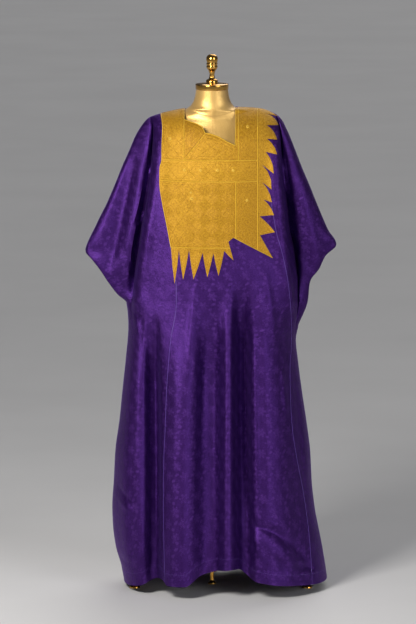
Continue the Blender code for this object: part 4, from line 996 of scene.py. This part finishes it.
def gold_finish(name, light):
    """Gold thread worked in close scribbled rows, leaning two ways by turns, with lines along the edge."""
    finish = Finish(
        name, metallic=0.30, roughness=0.5, sheen_weight=0.1, specular_tint=(1.0, 0.85, 0.5, 1.0),
    )
    u, v = finish.flat()
    curl = finish.noise((u, v), 90.0, 2.0, 0.5) - 0.5
    across = u + v + curl * 0.012
    down = u - v + curl * 0.012
    cell, row, line = 0.046, 0.0042, 0.0052
    turned_part = (across.wave(2 * cell) * down.wave(2 * cell)).step_up(-0.25, 0.25)
    rows = across.wave(row) * turned_part + down.wave(row) * (turned_part * -1.0 + 1.0)
    edge = finish.attribute("edge")
    contour = (edge * (TURN / line)).cos() * (edge * -1.0 + 0.011).step_up(-0.001, 0.001)
    grain = finish.noise((u, v), 210.0, 3.0, 0.7)
    cloud = finish.noise((u, v), 26.0, 3.0, 0.6)
    finish.colour(
        rows * 0.15 + contour * 0.05 + grain * 1.20 + cloud * 0.22 + (light - 0.32),
        (0.0, (0.210, 0.084, 0.002)), (0.42, (0.440, 0.218, 0.007)),
        (0.72, (0.610, 0.340, 0.022)), (1.0, (0.880, 0.580, 0.100)),
    )
    finish.rough(grain * 0.22 + 0.40)
    finish.bump(rows * 0.40 + contour * 0.3 + grain * 0.6, 0.5, 0.0008)
    return finish.material


def cord_finish(name, light=0.0):
    """Bright gold couching cord, laid in a twist."""
    finish = Finish(
        name, metallic=0.4, roughness=0.42, sheen_weight=0.2, specular_tint=(1.0, 0.85, 0.5, 1.0),
    )
    u, v = finish.flat()
    twist = (u * (TURN / 0.0030) + v * TURN).sin()
    grain = finish.noise((u, v), 300.0, 2.0)
    finish.colour(
        twist * 0.16 + grain * 0.4 + (light + 0.16),
        (0.0, (0.40, 0.20, 0.006)), (0.5, (0.70, 0.42, 0.025)), (1.0, (0.93, 0.66, 0.11)),
    )
    finish.bump(twist, 0.5, 0.0004)
    return finish.material


def thread_finish():
    """Violet sewing thread and seam welts, a little lighter than the cloth."""
    finish = Finish(
        "violet_thread", roughness=0.38, sheen_weight=0.4, sheen_tint=(0.5, 0.4, 1.0, 1.0),
        specular_tint=(0.8, 0.7, 1.0, 1.0),
    )
    u, v = finish.flat()
    twist = (u * (TURN / 0.0022) + v * TURN).sin()
    finish.colour(twist * 0.2 + 0.5, (0.0, (0.046, 0.016, 0.150)), (1.0, (0.110, 0.050, 0.300)))
    finish.bump(twist, 0.3, 0.0003)
    return finish.material


def satin_finish():
    """The form's gold satin cover."""
    finish = Finish(
        "form_cover_satin", metallic=0.45, roughness=0.34, sheen_weight=0.25, anisotropic=0.4,
        specular_tint=(1.0, 0.86, 0.6, 1.0),
    )
    u, v = finish.flat()
    weave = u.wave(0.0012) * v.wave(0.0012)
    slub = finish.noise((u * 240.0, v * 14.0), 1.0, 3.0, 0.6)
    cloud = finish.noise((u, v), 11.0, 2.0)
    finish.colour(slub * 0.4 + cloud * 0.5, (0.15, (0.52, 0.300, 0.075)), (0.75, (0.760, 0.500, 0.170)))
    finish.rough(slub * 0.16 + 0.26)
    finish.bump(weave * 0.3 + slub * 0.6, 0.3, 0.0003)
    return finish.material


def brass_finish(name, ring_scale):
    """Polished brass with fine rings round it, or a fine grain, and a little dulling."""
    finish = Finish(name, metallic=1.0, roughness=0.2)
    x, y, z = finish.solid()
    dull = finish.noise((x, y, z), 55.0, 4.0, 0.65)
    fine = finish.noise((x * 2.0, y * 2.0, z * ring_scale), 1.0, 2.0)
    finish.colour(dull, (0.25, (0.48, 0.235, 0.038)), (0.62, (0.74, 0.42, 0.095)))
    finish.rough(dull * 0.20 + fine * 0.06 + 0.05)
    finish.bump(fine, 0.12, 0.0003)
    return finish.material


def panel_rows(step, top_steps):
    """The ways up the cloth that get a row of points."""
    low, start = LOW["level"], SHOULDER_Z - SHOULDER_ROUND
    body = np.linspace(low, start, round((start - low) / step), endpoint=False)
    return np.concatenate([body, np.linspace(start, ARC_TOP, top_steps)])


def lengths(points):
    """The way along each line of points to each of them."""
    steps = np.linalg.norm(np.diff(points, axis=-2), axis=-1)
    return np.concatenate([np.zeros((*steps.shape[:-1], 1)), np.cumsum(steps, axis=-1)], axis=-1)


def make_panels():
    """The six lengths of cloth, by the name of the node that each replaces."""
    made = {}
    for side in ("front", "back"):
        arcs = panel_rows(*FINE_ROWS[side])
        levels = arc_level(arcs)
        places, columns = across_places(side)
        level = levels[:, None] + 0 * places[None, :]
        points = cloth_point(side, across_x(side, level, places), level)
        normals = grid_normals(side, points, levels)
        middle = columns[MIDDLE_LINE[side]]
        u = lengths(points)
        u = u - u[:, middle : middle + 1]
        v = lengths(points[:, middle])[:, None] + 0 * u
        hem = ramp(v, HEM_DEPTH + HEM_SLOPE[0], HEM_DEPTH + HEM_SLOPE[1]) * HEM_RISE
        for panel, first, last in PANELS:
            span = slice(columns[first], columns[last] + 1)
            part, face = points[:, span].copy(), normals[:, span]
            for column, neighbour, cut in ((0, 1, first != "left_x"), (-1, -2, last != "right_x")):
                if cut:
                    toward = part[:, neighbour] - part[:, column]
                    toward -= np.sum(toward * face[:, column], axis=1)[:, None] * face[:, column]
                    part[:, column] += unit(toward) * SEAM / 2
            outer = part + face * (CLOTH / 2 + hem[:, span, None])
            inner = part - face * (CLOTH / 2)
            faces = shell_faces(*part.shape[:2])
            if side == "front":
                faces = faces[:, ::-1]
            name = f"{side}_{panel}_panel"
            flat = np.stack([u[:, span], v[:, span]], axis=-1).reshape(-1, 2)
            made[name] = add_piece(
                "cloth_" + name, np.concatenate([outer.reshape(-1, 3), inner.reshape(-1, 3)]), faces, damask,
                np.concatenate([flat, flat]),
            )
    return made


def cut_away(piece, outline, y_front, y_back):
    """Cuts a prism with this outline in X and Z from a piece."""
    count = len(outline)
    points = [(x, y, z) for y in (y_front, y_back) for x, z in outline]
    faces = [tuple(range(count)), tuple(range(count, 2 * count))[::-1]]
    faces += [(k, k + count, (k + 1) % count + count, (k + 1) % count) for k in range(count)]
    mesh = bpy.data.meshes.new("cutter")
    mesh.from_pydata(points, [], faces)
    cutter = bpy.data.objects.new("cutter", mesh)
    bpy.context.scene.collection.objects.link(cutter)
    shape = np.array(outline)
    turned = np.roll(shape, -1, axis=0)
    if np.sum(shape[:, 0] * turned[:, 1] - turned[:, 0] * shape[:, 1]) < 0:
        mesh.flip_normals()
    modifier = piece.modifiers.new("cut", "BOOLEAN")
    modifier.operation = "DIFFERENCE"
    modifier.solver = "EXACT"
    modifier.object = cutter
    graph = bpy.context.evaluated_depsgraph_get()
    made = bpy.data.meshes.new_from_object(piece.evaluated_get(graph))
    piece.modifiers.clear()
    piece.data = made
    bpy.data.objects.remove(cutter)


def inside_of(points, outline):
    """Which points lie inside a closed outline, and how far each is from it."""
    x, z = points[:, 0], points[:, 1]
    inside = np.zeros(len(points), bool)
    least = np.full(len(points), FAR)
    for (x1, z1), (x2, z2) in zip(outline, np.roll(outline, -1, axis=0)):
        if z1 != z2:
            inside ^= ((z1 > z) != (z2 > z)) & (x < (x2 - x1) * (z - z1) / (z2 - z1) + x1)
        along = np.array((x2 - x1, z2 - z1))
        length = along @ along
        if length > TINY:
            part = np.clip(((x - x1) * along[0] + (z - z1) * along[1]) / length, 0, 1)
            least = np.minimum(least, np.hypot(x - x1 - part * along[0], z - z1 - part * along[1]))
    return inside, least


def spread(path, step, closed=False):
    """Points along a path of (x, z), about this far apart, with every corner kept."""
    path = np.array(path, float)
    if closed:
        path = np.concatenate([path, path[:1]])
    points = []
    for start, end in zip(path[:-1], path[1:]):
        count = max(1, round(float(np.hypot(*(end - start))) / step))
        points += [start + (end - start) * k / count for k in range(count)]
    if not closed:
        points.append(path[-1])
    return np.array(points)


def to_arc(points):
    """(x, z) on the front sheet as (x, way up)."""
    return np.stack([points[:, 0], level_arc(level_of("front", points[:, 0], points[:, 1]))], axis=-1)


def without_repeats(points, least=0.0002):
    """The points of a closed path that lie apart from the one before them."""
    kept = [points[0]]
    for point in points[1:]:
        if np.hypot(*(point - kept[-1])) > least:
            kept.append(point)
    if np.hypot(*(kept[0] - kept[-1])) <= least:
        kept.pop()
    return np.array(kept)


def make_plastron(name, outline):
    """One piece of the plastron, laid on the front sheet, with a rounded edge."""
    line = without_repeats(to_arc(spread(outline, PLASTRON_STEP, closed=True)))
    low, high = line.min(axis=0), line.max(axis=0)
    across = np.arange(low[0], high[0], PLASTRON_STEP)
    upward = np.arange(low[1], high[1], PLASTRON_STEP * 0.87)
    lattice = np.stack(np.meshgrid(across, upward), axis=-1)
    lattice[1::2, :, 0] += PLASTRON_STEP / 2
    lattice = lattice.reshape(-1, 2)
    inside, least = inside_of(lattice, line)
    lattice = lattice[inside & (least > PLASTRON_STEP * 0.45)]
    given = [Vector(point) for point in np.concatenate([line, lattice]).tolist()]
    points, _, faces, *_ = delaunay_2d_cdt(given, [], [list(range(len(line)))], 1, 1e-6)
    flat = np.array([tuple(point) for point in points])
    faces = np.array([tuple(face) for face in faces])
    edge = inside_of(flat, line)[1]
    middle, face = facing("front", flat[:, 0], flat[:, 1])
    base = CLOTH / 2 + PLASTRON_LIFT
    round_part = (1 - PLASTRON_EDGE_SHARE) * rounded(edge / PLASTRON_EDGE)
    rise = base + PLASTRON_WALL * (PLASTRON_EDGE_SHARE + round_part)
    outer = middle + face * rise[:, None]
    inner = middle + face * base
    count = len(flat)
    ends = np.concatenate([faces[:, [0, 1]], faces[:, [1, 2]], faces[:, [2, 0]]])
    code = ends[:, 0] * count + ends[:, 1]
    rim = ends[~np.isin(code, ends[:, 1] * count + ends[:, 0])]
    sides = np.stack([rim[:, 1], rim[:, 0], rim[:, 0] + count, rim[:, 1] + count], axis=1)
    everything = [*faces.tolist(), *(faces[:, ::-1] + count).tolist(), *sides.tolist()]
    piece = add_piece(
        "sewn_" + name, np.concatenate([outer, inner]), everything, gold[PLASTRON_TONE[name]],
        np.concatenate([flat, flat]), np.concatenate([edge, edge]),
    )
    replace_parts(piece, name)
    return piece


def ring_faces(count, sides, closed=False):
    """Faces between rings of points. When closed, the last ring joins the first. Else both ends get a lid."""
    index = np.arange(count * sides).reshape(count, sides)
    rings = np.concatenate([index, index[:1]]) if closed else index
    after = np.roll(rings, -1, axis=1)
    faces = np.stack([rings[:-1], after[:-1], after[1:], rings[1:]], axis=-1).reshape(-1, 4).tolist()
    if not closed:
        faces += [index[0][::-1].tolist(), index[-1].tolist()]
    return faces


def tube(points, face, wide, high, sides=8, closed=False):
    """Points, faces and flat coordinates of a tube along these points, flattened toward the way it faces."""
    if closed:
        along = np.roll(points, -1, axis=0) - np.roll(points, 1, axis=0)
    else:
        along = np.gradient(points, axis=0)
    beside = unit(np.cross(face, unit(along)))
    angle = np.arange(sides) * TURN / sides
    rings = (
        points[:, None]
        + beside[:, None] * (wide * np.cos(angle))[None, :, None]
        + face[:, None] * (high * np.sin(angle))[None, :, None]
    )
    count = len(points)
    uv = np.stack([np.repeat(lengths(points), sides), np.tile(np.arange(sides) / sides, count)], axis=-1)
    return rings.reshape(-1, 3), ring_faces(count, sides, closed), uv


def joined(name, parts, material, slot, smooth_below=50):
    """One piece from many small meshes of points, faces and flat coordinates."""
    points, faces, flat, count = [], [], [], 0
    for part_points, part_faces, part_uv in parts:
        points.append(part_points)
        flat.append(part_uv)
        faces += [[v + count for v in face] for face in part_faces]
        count += len(part_points)
    return add_piece(
        name, np.concatenate(points), faces, material, np.concatenate(flat), smooth_below=smooth_below,
    )


def on_front(path, lift, step):
    """A path of (x, z) carried onto the front of the garment, and the way it faces."""
    flat = to_arc(spread(path, step))
    keep = np.concatenate([[True], np.hypot(*np.diff(flat, axis=0).T) > 0.0003])
    point, face = facing("front", flat[keep, 0], flat[keep, 1])
    return point + face * lift, face


def cord_paths(outlines):
    """The lines of couched cord, along the plastron's left edge, neckline and seams, as paths of (x, z)."""
    up = np.linspace(PLASTRON_LEFT_FOOT[0], PLASTRON_LEFT[-1][0], 24)
    corner = outlines["lower_corner"]
    return [
        [*zip(plastron_left(up), up), (PLASTRON_LEFT[-1][1], TOP_Z)],
        [(STRAP_SEAM_X, CHEST_TOP_Z), (STRAP_SEAM_X, TOP_Z)],
        NECKLINE[1:-1] + ((LOWER_SEAM_X, NECKLINE[-1][1]), (LOWER_SEAM_X, TOP_Z)),
        [(NECK_SEAM_X, CHEST_TOP_Z), (NECK_SEAM_X, TOP_Z)],
        [(BAND_SEAM_X, corner[-1][1]), (BAND_SEAM_X, TOP_Z)],
        [(float(plastron_left(CHEST_TOP_Z)), CHEST_TOP_Z), (BAND_SEAM_X, CHEST_TOP_Z)],
        [(float(plastron_left(CHEST_LOW_Z)), CHEST_LOW_Z), (BAND_SEAM_X, CHEST_LOW_Z)],
        [(LOWER_SEAM_X, corner[0][1]), (LOWER_SEAM_X, CHEST_LOW_Z)],
        [PLASTRON_LEFT_FOOT[::-1], (FOOT_TEETH[-1][2], TEETH_SEAM_Z)],
        [(STRAP_SEAM_X, CHEST_TOP_Z), GUSSET_CORNER],
        [SIDE_TEETH[-1][2:4], INNER_CORNER],
    ]


def lattice_runs(outline, cell, slope):
    """The threads of a lattice, where they lie well inside an outline, as paths of (x, z)."""
    low, high = outline.min(axis=0), np.minimum(outline.max(axis=0), LATTICE_TOP_Z)
    x = np.arange(low[0], high[0], CORD_STEP)
    middle_x, middle_z = (low + high) / 2
    found = []
    for lean in (1, -1):
        for k in range(-LATTICE_REACH, LATTICE_REACH + 1):
            path = np.stack([x, middle_z + lean * slope * (x - middle_x) + k * cell], axis=-1)
            inside, least = inside_of(path, outline)
            good = inside & (least > THREAD_INSET)
            runs = np.split(np.arange(len(path)), np.flatnonzero(np.diff(good)) + 1)
            found += [path[run] for run in runs if good[run[0]] and len(run) > THREAD_LEAST]
    return found


def make_cords(outlines):
    """Couched cord along the plastron's edges and seams, and finer threads laid in a lattice on it."""
    parts = []
    for path in cord_paths(outlines):
        points, face = on_front(path, CLOTH / 2 + PLASTRON_LIFT + PLASTRON_WALL * CORD_SUNK, CORD_STEP)
        parts.append(tube(points, face, CORD_WIDE, CORD_HIGH))
    joined("plastron_cords", parts, cord_gold, "gold_embroidery")
    parts = []
    for name, (cell, slope) in LATTICE.items():
        for path in lattice_runs(np.array(outlines[name]), cell, slope):
            points, face = on_front(path, CLOTH / 2 + PLASTRON_LIFT + PLASTRON_WALL, CORD_STEP)
            parts.append(tube(points, face, THREAD_WIDE, THREAD_HIGH, 6))
    joined("plastron_threads", parts, gold["light"], "gold_embroidery")


def make_studs():
    """Small sewn rosettes: a knot inside a ring of short petals."""
    parts = []
    lift = CLOTH / 2 + PLASTRON_LIFT + PLASTRON_WALL
    for x, z, size in ROSETTES:
        middle = np.array((x, z))
        for turn in np.arange(PETALS) * TURN / PETALS:
            reach = np.array((math.cos(turn), math.sin(turn))) * size
            points, face = on_front([middle + reach * share for share in PETAL_SHARES], lift, 1.0)
            parts.append(tube(points, face, size * 0.17, size * 0.15, 6))
        turn = np.arange(KNOT_STEPS) * TURN / KNOT_STEPS
        knot = middle + size * KNOT_SHARE * np.stack([np.cos(turn), np.sin(turn)], axis=-1)
        points, face = on_front(knot, lift, 1.0)
        parts.append(tube(points, face, size * 0.22, size * 0.24, 6, closed=True))
    joined("plastron_rosettes", parts, pale_gold, "gold_embroidery", 80)


def stitches(points, face, length, apart, radius):
    """A row of small stitches along a path of points."""
    parts = []
    way = lengths(points)
    start = apart / 2
    while start + length < way[-1]:
        at = np.linspace(start, start + length, 4)
        path = np.stack([np.interp(at, way, row) for row in points.T], axis=-1)
        out = unit(np.stack([np.interp(at, way, row) for row in face.T], axis=-1))
        path[[0, -1]] -= out[[0, -1]] * radius
        parts.append(tube(path, out, radius, radius, 5))
        start += apart
    return parts


def line_across(side, arc, count):
    """Points right across a sheet at this way up, and the way they face."""
    at = level_at(arc_level(arc))
    x = np.linspace(at["left_x"] + HEM_INSET, at["right_x"] - HEM_INSET, count)
    return facing(side, x, np.full(count, arc))


def line_down(side, name, low, high, count):
    """Points down one of the sheet's lines, and the way they face."""
    arc = np.linspace(low, high, count)
    place = [line for line, _ in LINES[side]].index(name)
    return facing(side, line_stack(side, arc_level(arc))[:, place], arc)


def rim_line(edge, low, high, count):
    """Points up the outer edge where front and back meet, and the way they face."""
    level = np.linspace(low, high, count)
    x = level_at(level)[edge]
    points = np.stack([x, 0 * x, height_at("front", x, level)], axis=-1)
    return points, in_seam_plane(np.gradient(points, axis=0)) * (1.0 if edge == "left_x" else -1.0)


def welt(points, face, lift=CLOTH / 2):
    """The raised line of a seam, along these points of the cloth's middle."""
    return tube(points + face * lift, face, WELT_WIDE, WELT_HIGH, WELT_SIDES)


def make_sewing():
    """Welts along the seams and the outer edges, and the row of stitches that holds the hem."""
    welts, rows = [], []
    for side in OUT:
        for seam in ("seam_l", "seam_r"):
            welts.append(welt(*line_down(side, seam, LOW["level"] + 0.001, ARC_TOP - WELT_INSET, WELT_STEPS)))
        points, face = line_across(side, LOW["level"] + HEM_DEPTH - STITCH_INSET, WELT_STEPS)
        rows += stitches(points + face * (CLOTH / 2 + HEM_RISE), face, **STITCH)
    for edge in ("left_x", "right_x"):
        for low, high in RIM_SPANS:
            welts.append(welt(*rim_line(edge, low, high, RIM_STEPS)))
    x = np.linspace(TOP["left_x"], TOP["right_x"], SHOULDER_STEPS)
    for keep in (x < NECKLINE[0][0] - NECK_INSET, x > LOWER_SEAM_X + NECK_INSET):
        points = cloth_point("front", x[keep], np.full(keep.sum(), SHOULDER_Z)) * (1, 0, 1)
        welts.append(welt(points, np.zeros_like(points) + (0, 0, 1)))
    joined("seam_welts", welts, thread, "violet_cloth")
    joined("hem_stitches", rows, thread, "violet_cloth")


def ring_round(z, sides):
    """A ring of the dress form at this height."""
    table = np.array(FORM)
    left, right, front, back, power = (smooth(z, table[:, 0], column) for column in table[:, 1:].T)
    turn = np.arange(sides) * TURN / sides
    across, ahead = np.cos(turn), np.sin(turn)
    x = np.where(across > 0, right, left) * np.sign(across) * np.abs(across) ** (2 / power)
    y = np.where(ahead > 0, back, front) * np.sign(ahead) * np.abs(ahead) ** (2 / power)
    return np.stack([x, y, 0 * x + z], axis=-1)


def make_form():
    """The padded form under its satin cover."""
    heights = []
    for low, high in zip(FORM[:-1], FORM[1:]):
        count = max(2, round((high[0] - low[0]) / FORM_STEP))
        heights += np.linspace(low[0], high[0], count, endpoint=False).tolist()
    heights.append(FORM[-1][0])
    rings = np.stack([ring_round(z, FORM_SIDES) for z in heights])
    around = np.arange(FORM_SIDES) / FORM_SIDES * FORM_GIRTH
    uv = np.stack(np.broadcast_arrays(around[None, :], np.array(heights)[:, None]), axis=-1)
    form = add_piece(
        "form_cover", rings.reshape(-1, 3), ring_faces(len(heights), FORM_SIDES), satin,
        uv.reshape(-1, 2), smooth_below=60,
    )
    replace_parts(form, "form_body")
    return form


def turned(name, profile, sides=72, place=(0.0, 0.0), hole=0.0):
    """A turned piece of brass from (radius, height) pairs, with softened edges, in place of that node."""
    soft = [profile[0]]
    for before, (radius, z), after in zip(profile, profile[1:], profile[2:]):
        for other in (before, after):
            far = math.hypot(other[0] - radius, other[1] - z)
            part = min(SOFT_MOST, SOFT_EDGE / far)
            soft.append((radius + (other[0] - radius) * part, z + (other[1] - z) * part))
    soft.append(profile[-1])
    if hole:
        soft = [(hole, profile[0][1]), *soft, (hole, profile[-1][1])]
    turn = np.arange(sides) * TURN / sides
    rings = [(place[0] + r * math.cos(a), place[1] + r * math.sin(a), z) for r, z in soft for a in turn]
    faces = ring_faces(len(soft), sides, closed=bool(hole))
    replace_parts(add_piece("fine_" + name, rings, faces, brass, smooth_below=38), name)


def make_neck_seam():
    """The seam round the foot of the form's neck, lower in the middle than at the sides."""
    parts = []
    for side, sign in OUT.items():
        x = np.cos(np.linspace(0, math.pi, NECK_SEAM_STEPS)) * NECK_SEAM_HALF
        z = NECK_SEAM_Z + NECK_SEAM_CURVE * x * x
        points = np.stack([x, sign * np.maximum(form_depth(side, x, z), 0.0), z], axis=-1)
        parts.append(welt(points, unit(points * (1, 1, 0)), 0.0))
    joined("form_neck_seam", parts, satin, "form_satin")


def neck_openings():
    """The outlines cut out of the front centre and back centre lengths for the neck, in X and Z."""
    left, right = NECKLINE[0][0], LOWER_SEAM_X
    share = np.arange(NAPE_STEPS + 1) / NAPE_STEPS
    nape = zip(left + share * (right - left), NAPE_Z - BACK_NECK_DROP * np.sin(math.pi * share))
    return (
        [(left, TOP_Z), *NECKLINE, (right, TOP_Z)],
        [(left, TOP_Z), *nape, (right, TOP_Z)],
    )


def make_leg(foot, x, y):
    """One leg of the tripod, a bow from the hub down to its foot."""
    reach = math.hypot(x, y)
    ahead = np.array((x / reach, y / reach))
    start, high = HUB_RADIUS + SEAM, HUB_BOTTOM_Z + HUB_HEIGHT / 2
    low = FOOT_HEIGHT + SEAM + LEG_RADIUS
    t = np.linspace(0, 1, LEG_STEPS)[:, None]
    corners = np.array(((start, high), (start + LEG_BOW, high), (reach - LEG_BOW, low), (reach, low)))
    weights = np.hstack([(1 - t) ** 3, 3 * t * (1 - t) ** 2, 3 * t * t * (1 - t), t**3])
    line = weights @ corners
    points = np.stack([ahead[0] * line[:, 0], ahead[1] * line[:, 0], line[:, 1]], axis=-1)
    upward = unit(np.cross(np.gradient(points, axis=0), (-ahead[1], ahead[0], 0.0)))
    leg = foot.replace("foot", "leg")
    piece = joined("fine_" + leg, [tube(points, upward, LEG_RADIUS, LEG_RADIUS, 32)], plain_brass, "brass")
    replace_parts(piece, leg)
    rim = FOOT_HEIGHT - FOOT_BEVEL
    disc = ((FOOT_RADIUS, 0.0), (FOOT_RADIUS, rim), (FOOT_RADIUS - FOOT_BEVEL, FOOT_HEIGHT))
    turned(foot, disc, 48, tuple(ahead * (reach - FOOT_RADIUS / 2)))


def make_floor():
    """A wide pale floor, which belongs to the picture and not to the part."""
    finish = Finish("floor_paint", roughness=0.75)
    cloud = finish.noise(finish.solid(), 1.3, 3.0)
    finish.colour(cloud, (0.3, (0.66, 0.66, 0.665)), (0.7, (0.70, 0.70, 0.705)))
    mesh = bpy.data.meshes.new("floor")
    mesh.from_pydata([(-40, -40, 0), (40, -40, 0), (40, 60, 0), (-40, 60, 0)], [], [(0, 1, 2, 3)])
    mesh.materials.append(finish.material)
    floor = bpy.data.objects.new("floor", mesh)
    bpy.context.scene.collection.objects.link(floor)


# Materials
damask = damask_finish()
thread = thread_finish()
gold = {name: gold_finish("gold_" + name, light) for name, light in GOLD_TONES.items()}
cord_gold = cord_finish("gold_cord")
pale_gold = cord_finish("pale_gold", 0.35)
satin = satin_finish()
brass = brass_finish("turned_brass", 1500.0)
plain_brass = brass_finish("leg_brass", 60.0)

# The garment and its form
outlines = plastron_outlines()
panels = make_panels()
front_opening, back_opening = neck_openings()
cut_away(panels["front_centre_panel"], front_opening, -CUT_DEPTH, 0.0)
cut_away(panels["back_centre_panel"], back_opening, 0.0, CUT_DEPTH)
form = make_form()
make_neck_seam()
for name, piece in panels.items():
    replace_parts(piece, name)
sewn = {name: make_plastron(name, outline) for name, outline in outlines.items()}
make_cords(outlines)
make_studs()
make_sewing()
for name, (wide, long, area) in CUTS.items():
    piece = panels.get(name) or sewn[name]

# The stand
turned("neck_cap", NECK_CAP)
turned("finial", FINIAL)
turned("pole", (*POLE_FOOT, (POLE_RADIUS, FORM_BOTTOM_Z - SEAM)), 40)
hub_profile = ((HUB_RADIUS, HUB_BOTTOM_Z), (HUB_RADIUS, HUB_BOTTOM_Z + HUB_HEIGHT))
turned("hub", hub_profile, 56, hole=POLE_RADIUS + SEAM)
for name, place in FEET.items():
    make_leg(name, *place)

# Floor, light and camera
make_floor()
bpy.context.scene.view_settings.view_transform = "Standard"
world = bpy.data.worlds.new("studio")
bpy.context.scene.world = world
world.use_nodes = True
background = world.node_tree.nodes["Background"]
background.inputs["Color"].default_value = WORLD_COLOUR
background.inputs["Strength"].default_value = WORLD_LIGHT
for name, kind, place, aim, wide, power, tint in LIGHTS:
    light = bpy.data.lights.new(name, kind)
    if kind == "SUN":
        light.angle = wide
    else:
        light.size = wide
    light.energy = power
    light.color = tint
    lamp = bpy.data.objects.new(name, light)
    lamp.location = place
    lamp.rotation_euler = (Vector(aim) - Vector(place)).to_track_quat("-Z", "Y").to_euler()
    bpy.context.scene.collection.objects.link(lamp)

camera = bpy.data.cameras.new("camera")
camera.sensor_width = SENSOR
camera.lens = SENSOR * CAMERA_FAR / VIEW_HEIGHT
camera.clip_end = 200.0
eye = bpy.data.objects.new("camera", camera)
rise = math.radians(CAMERA_RISE)
target = Vector(CAMERA_AIM)
eye.location = target + Vector((0.0, -math.cos(rise), math.sin(rise))) * CAMERA_FAR
eye.rotation_euler = (target - eye.location).to_track_quat("-Z", "Y").to_euler()
bpy.context.scene.collection.objects.link(eye)
bpy.context.scene.camera = eye
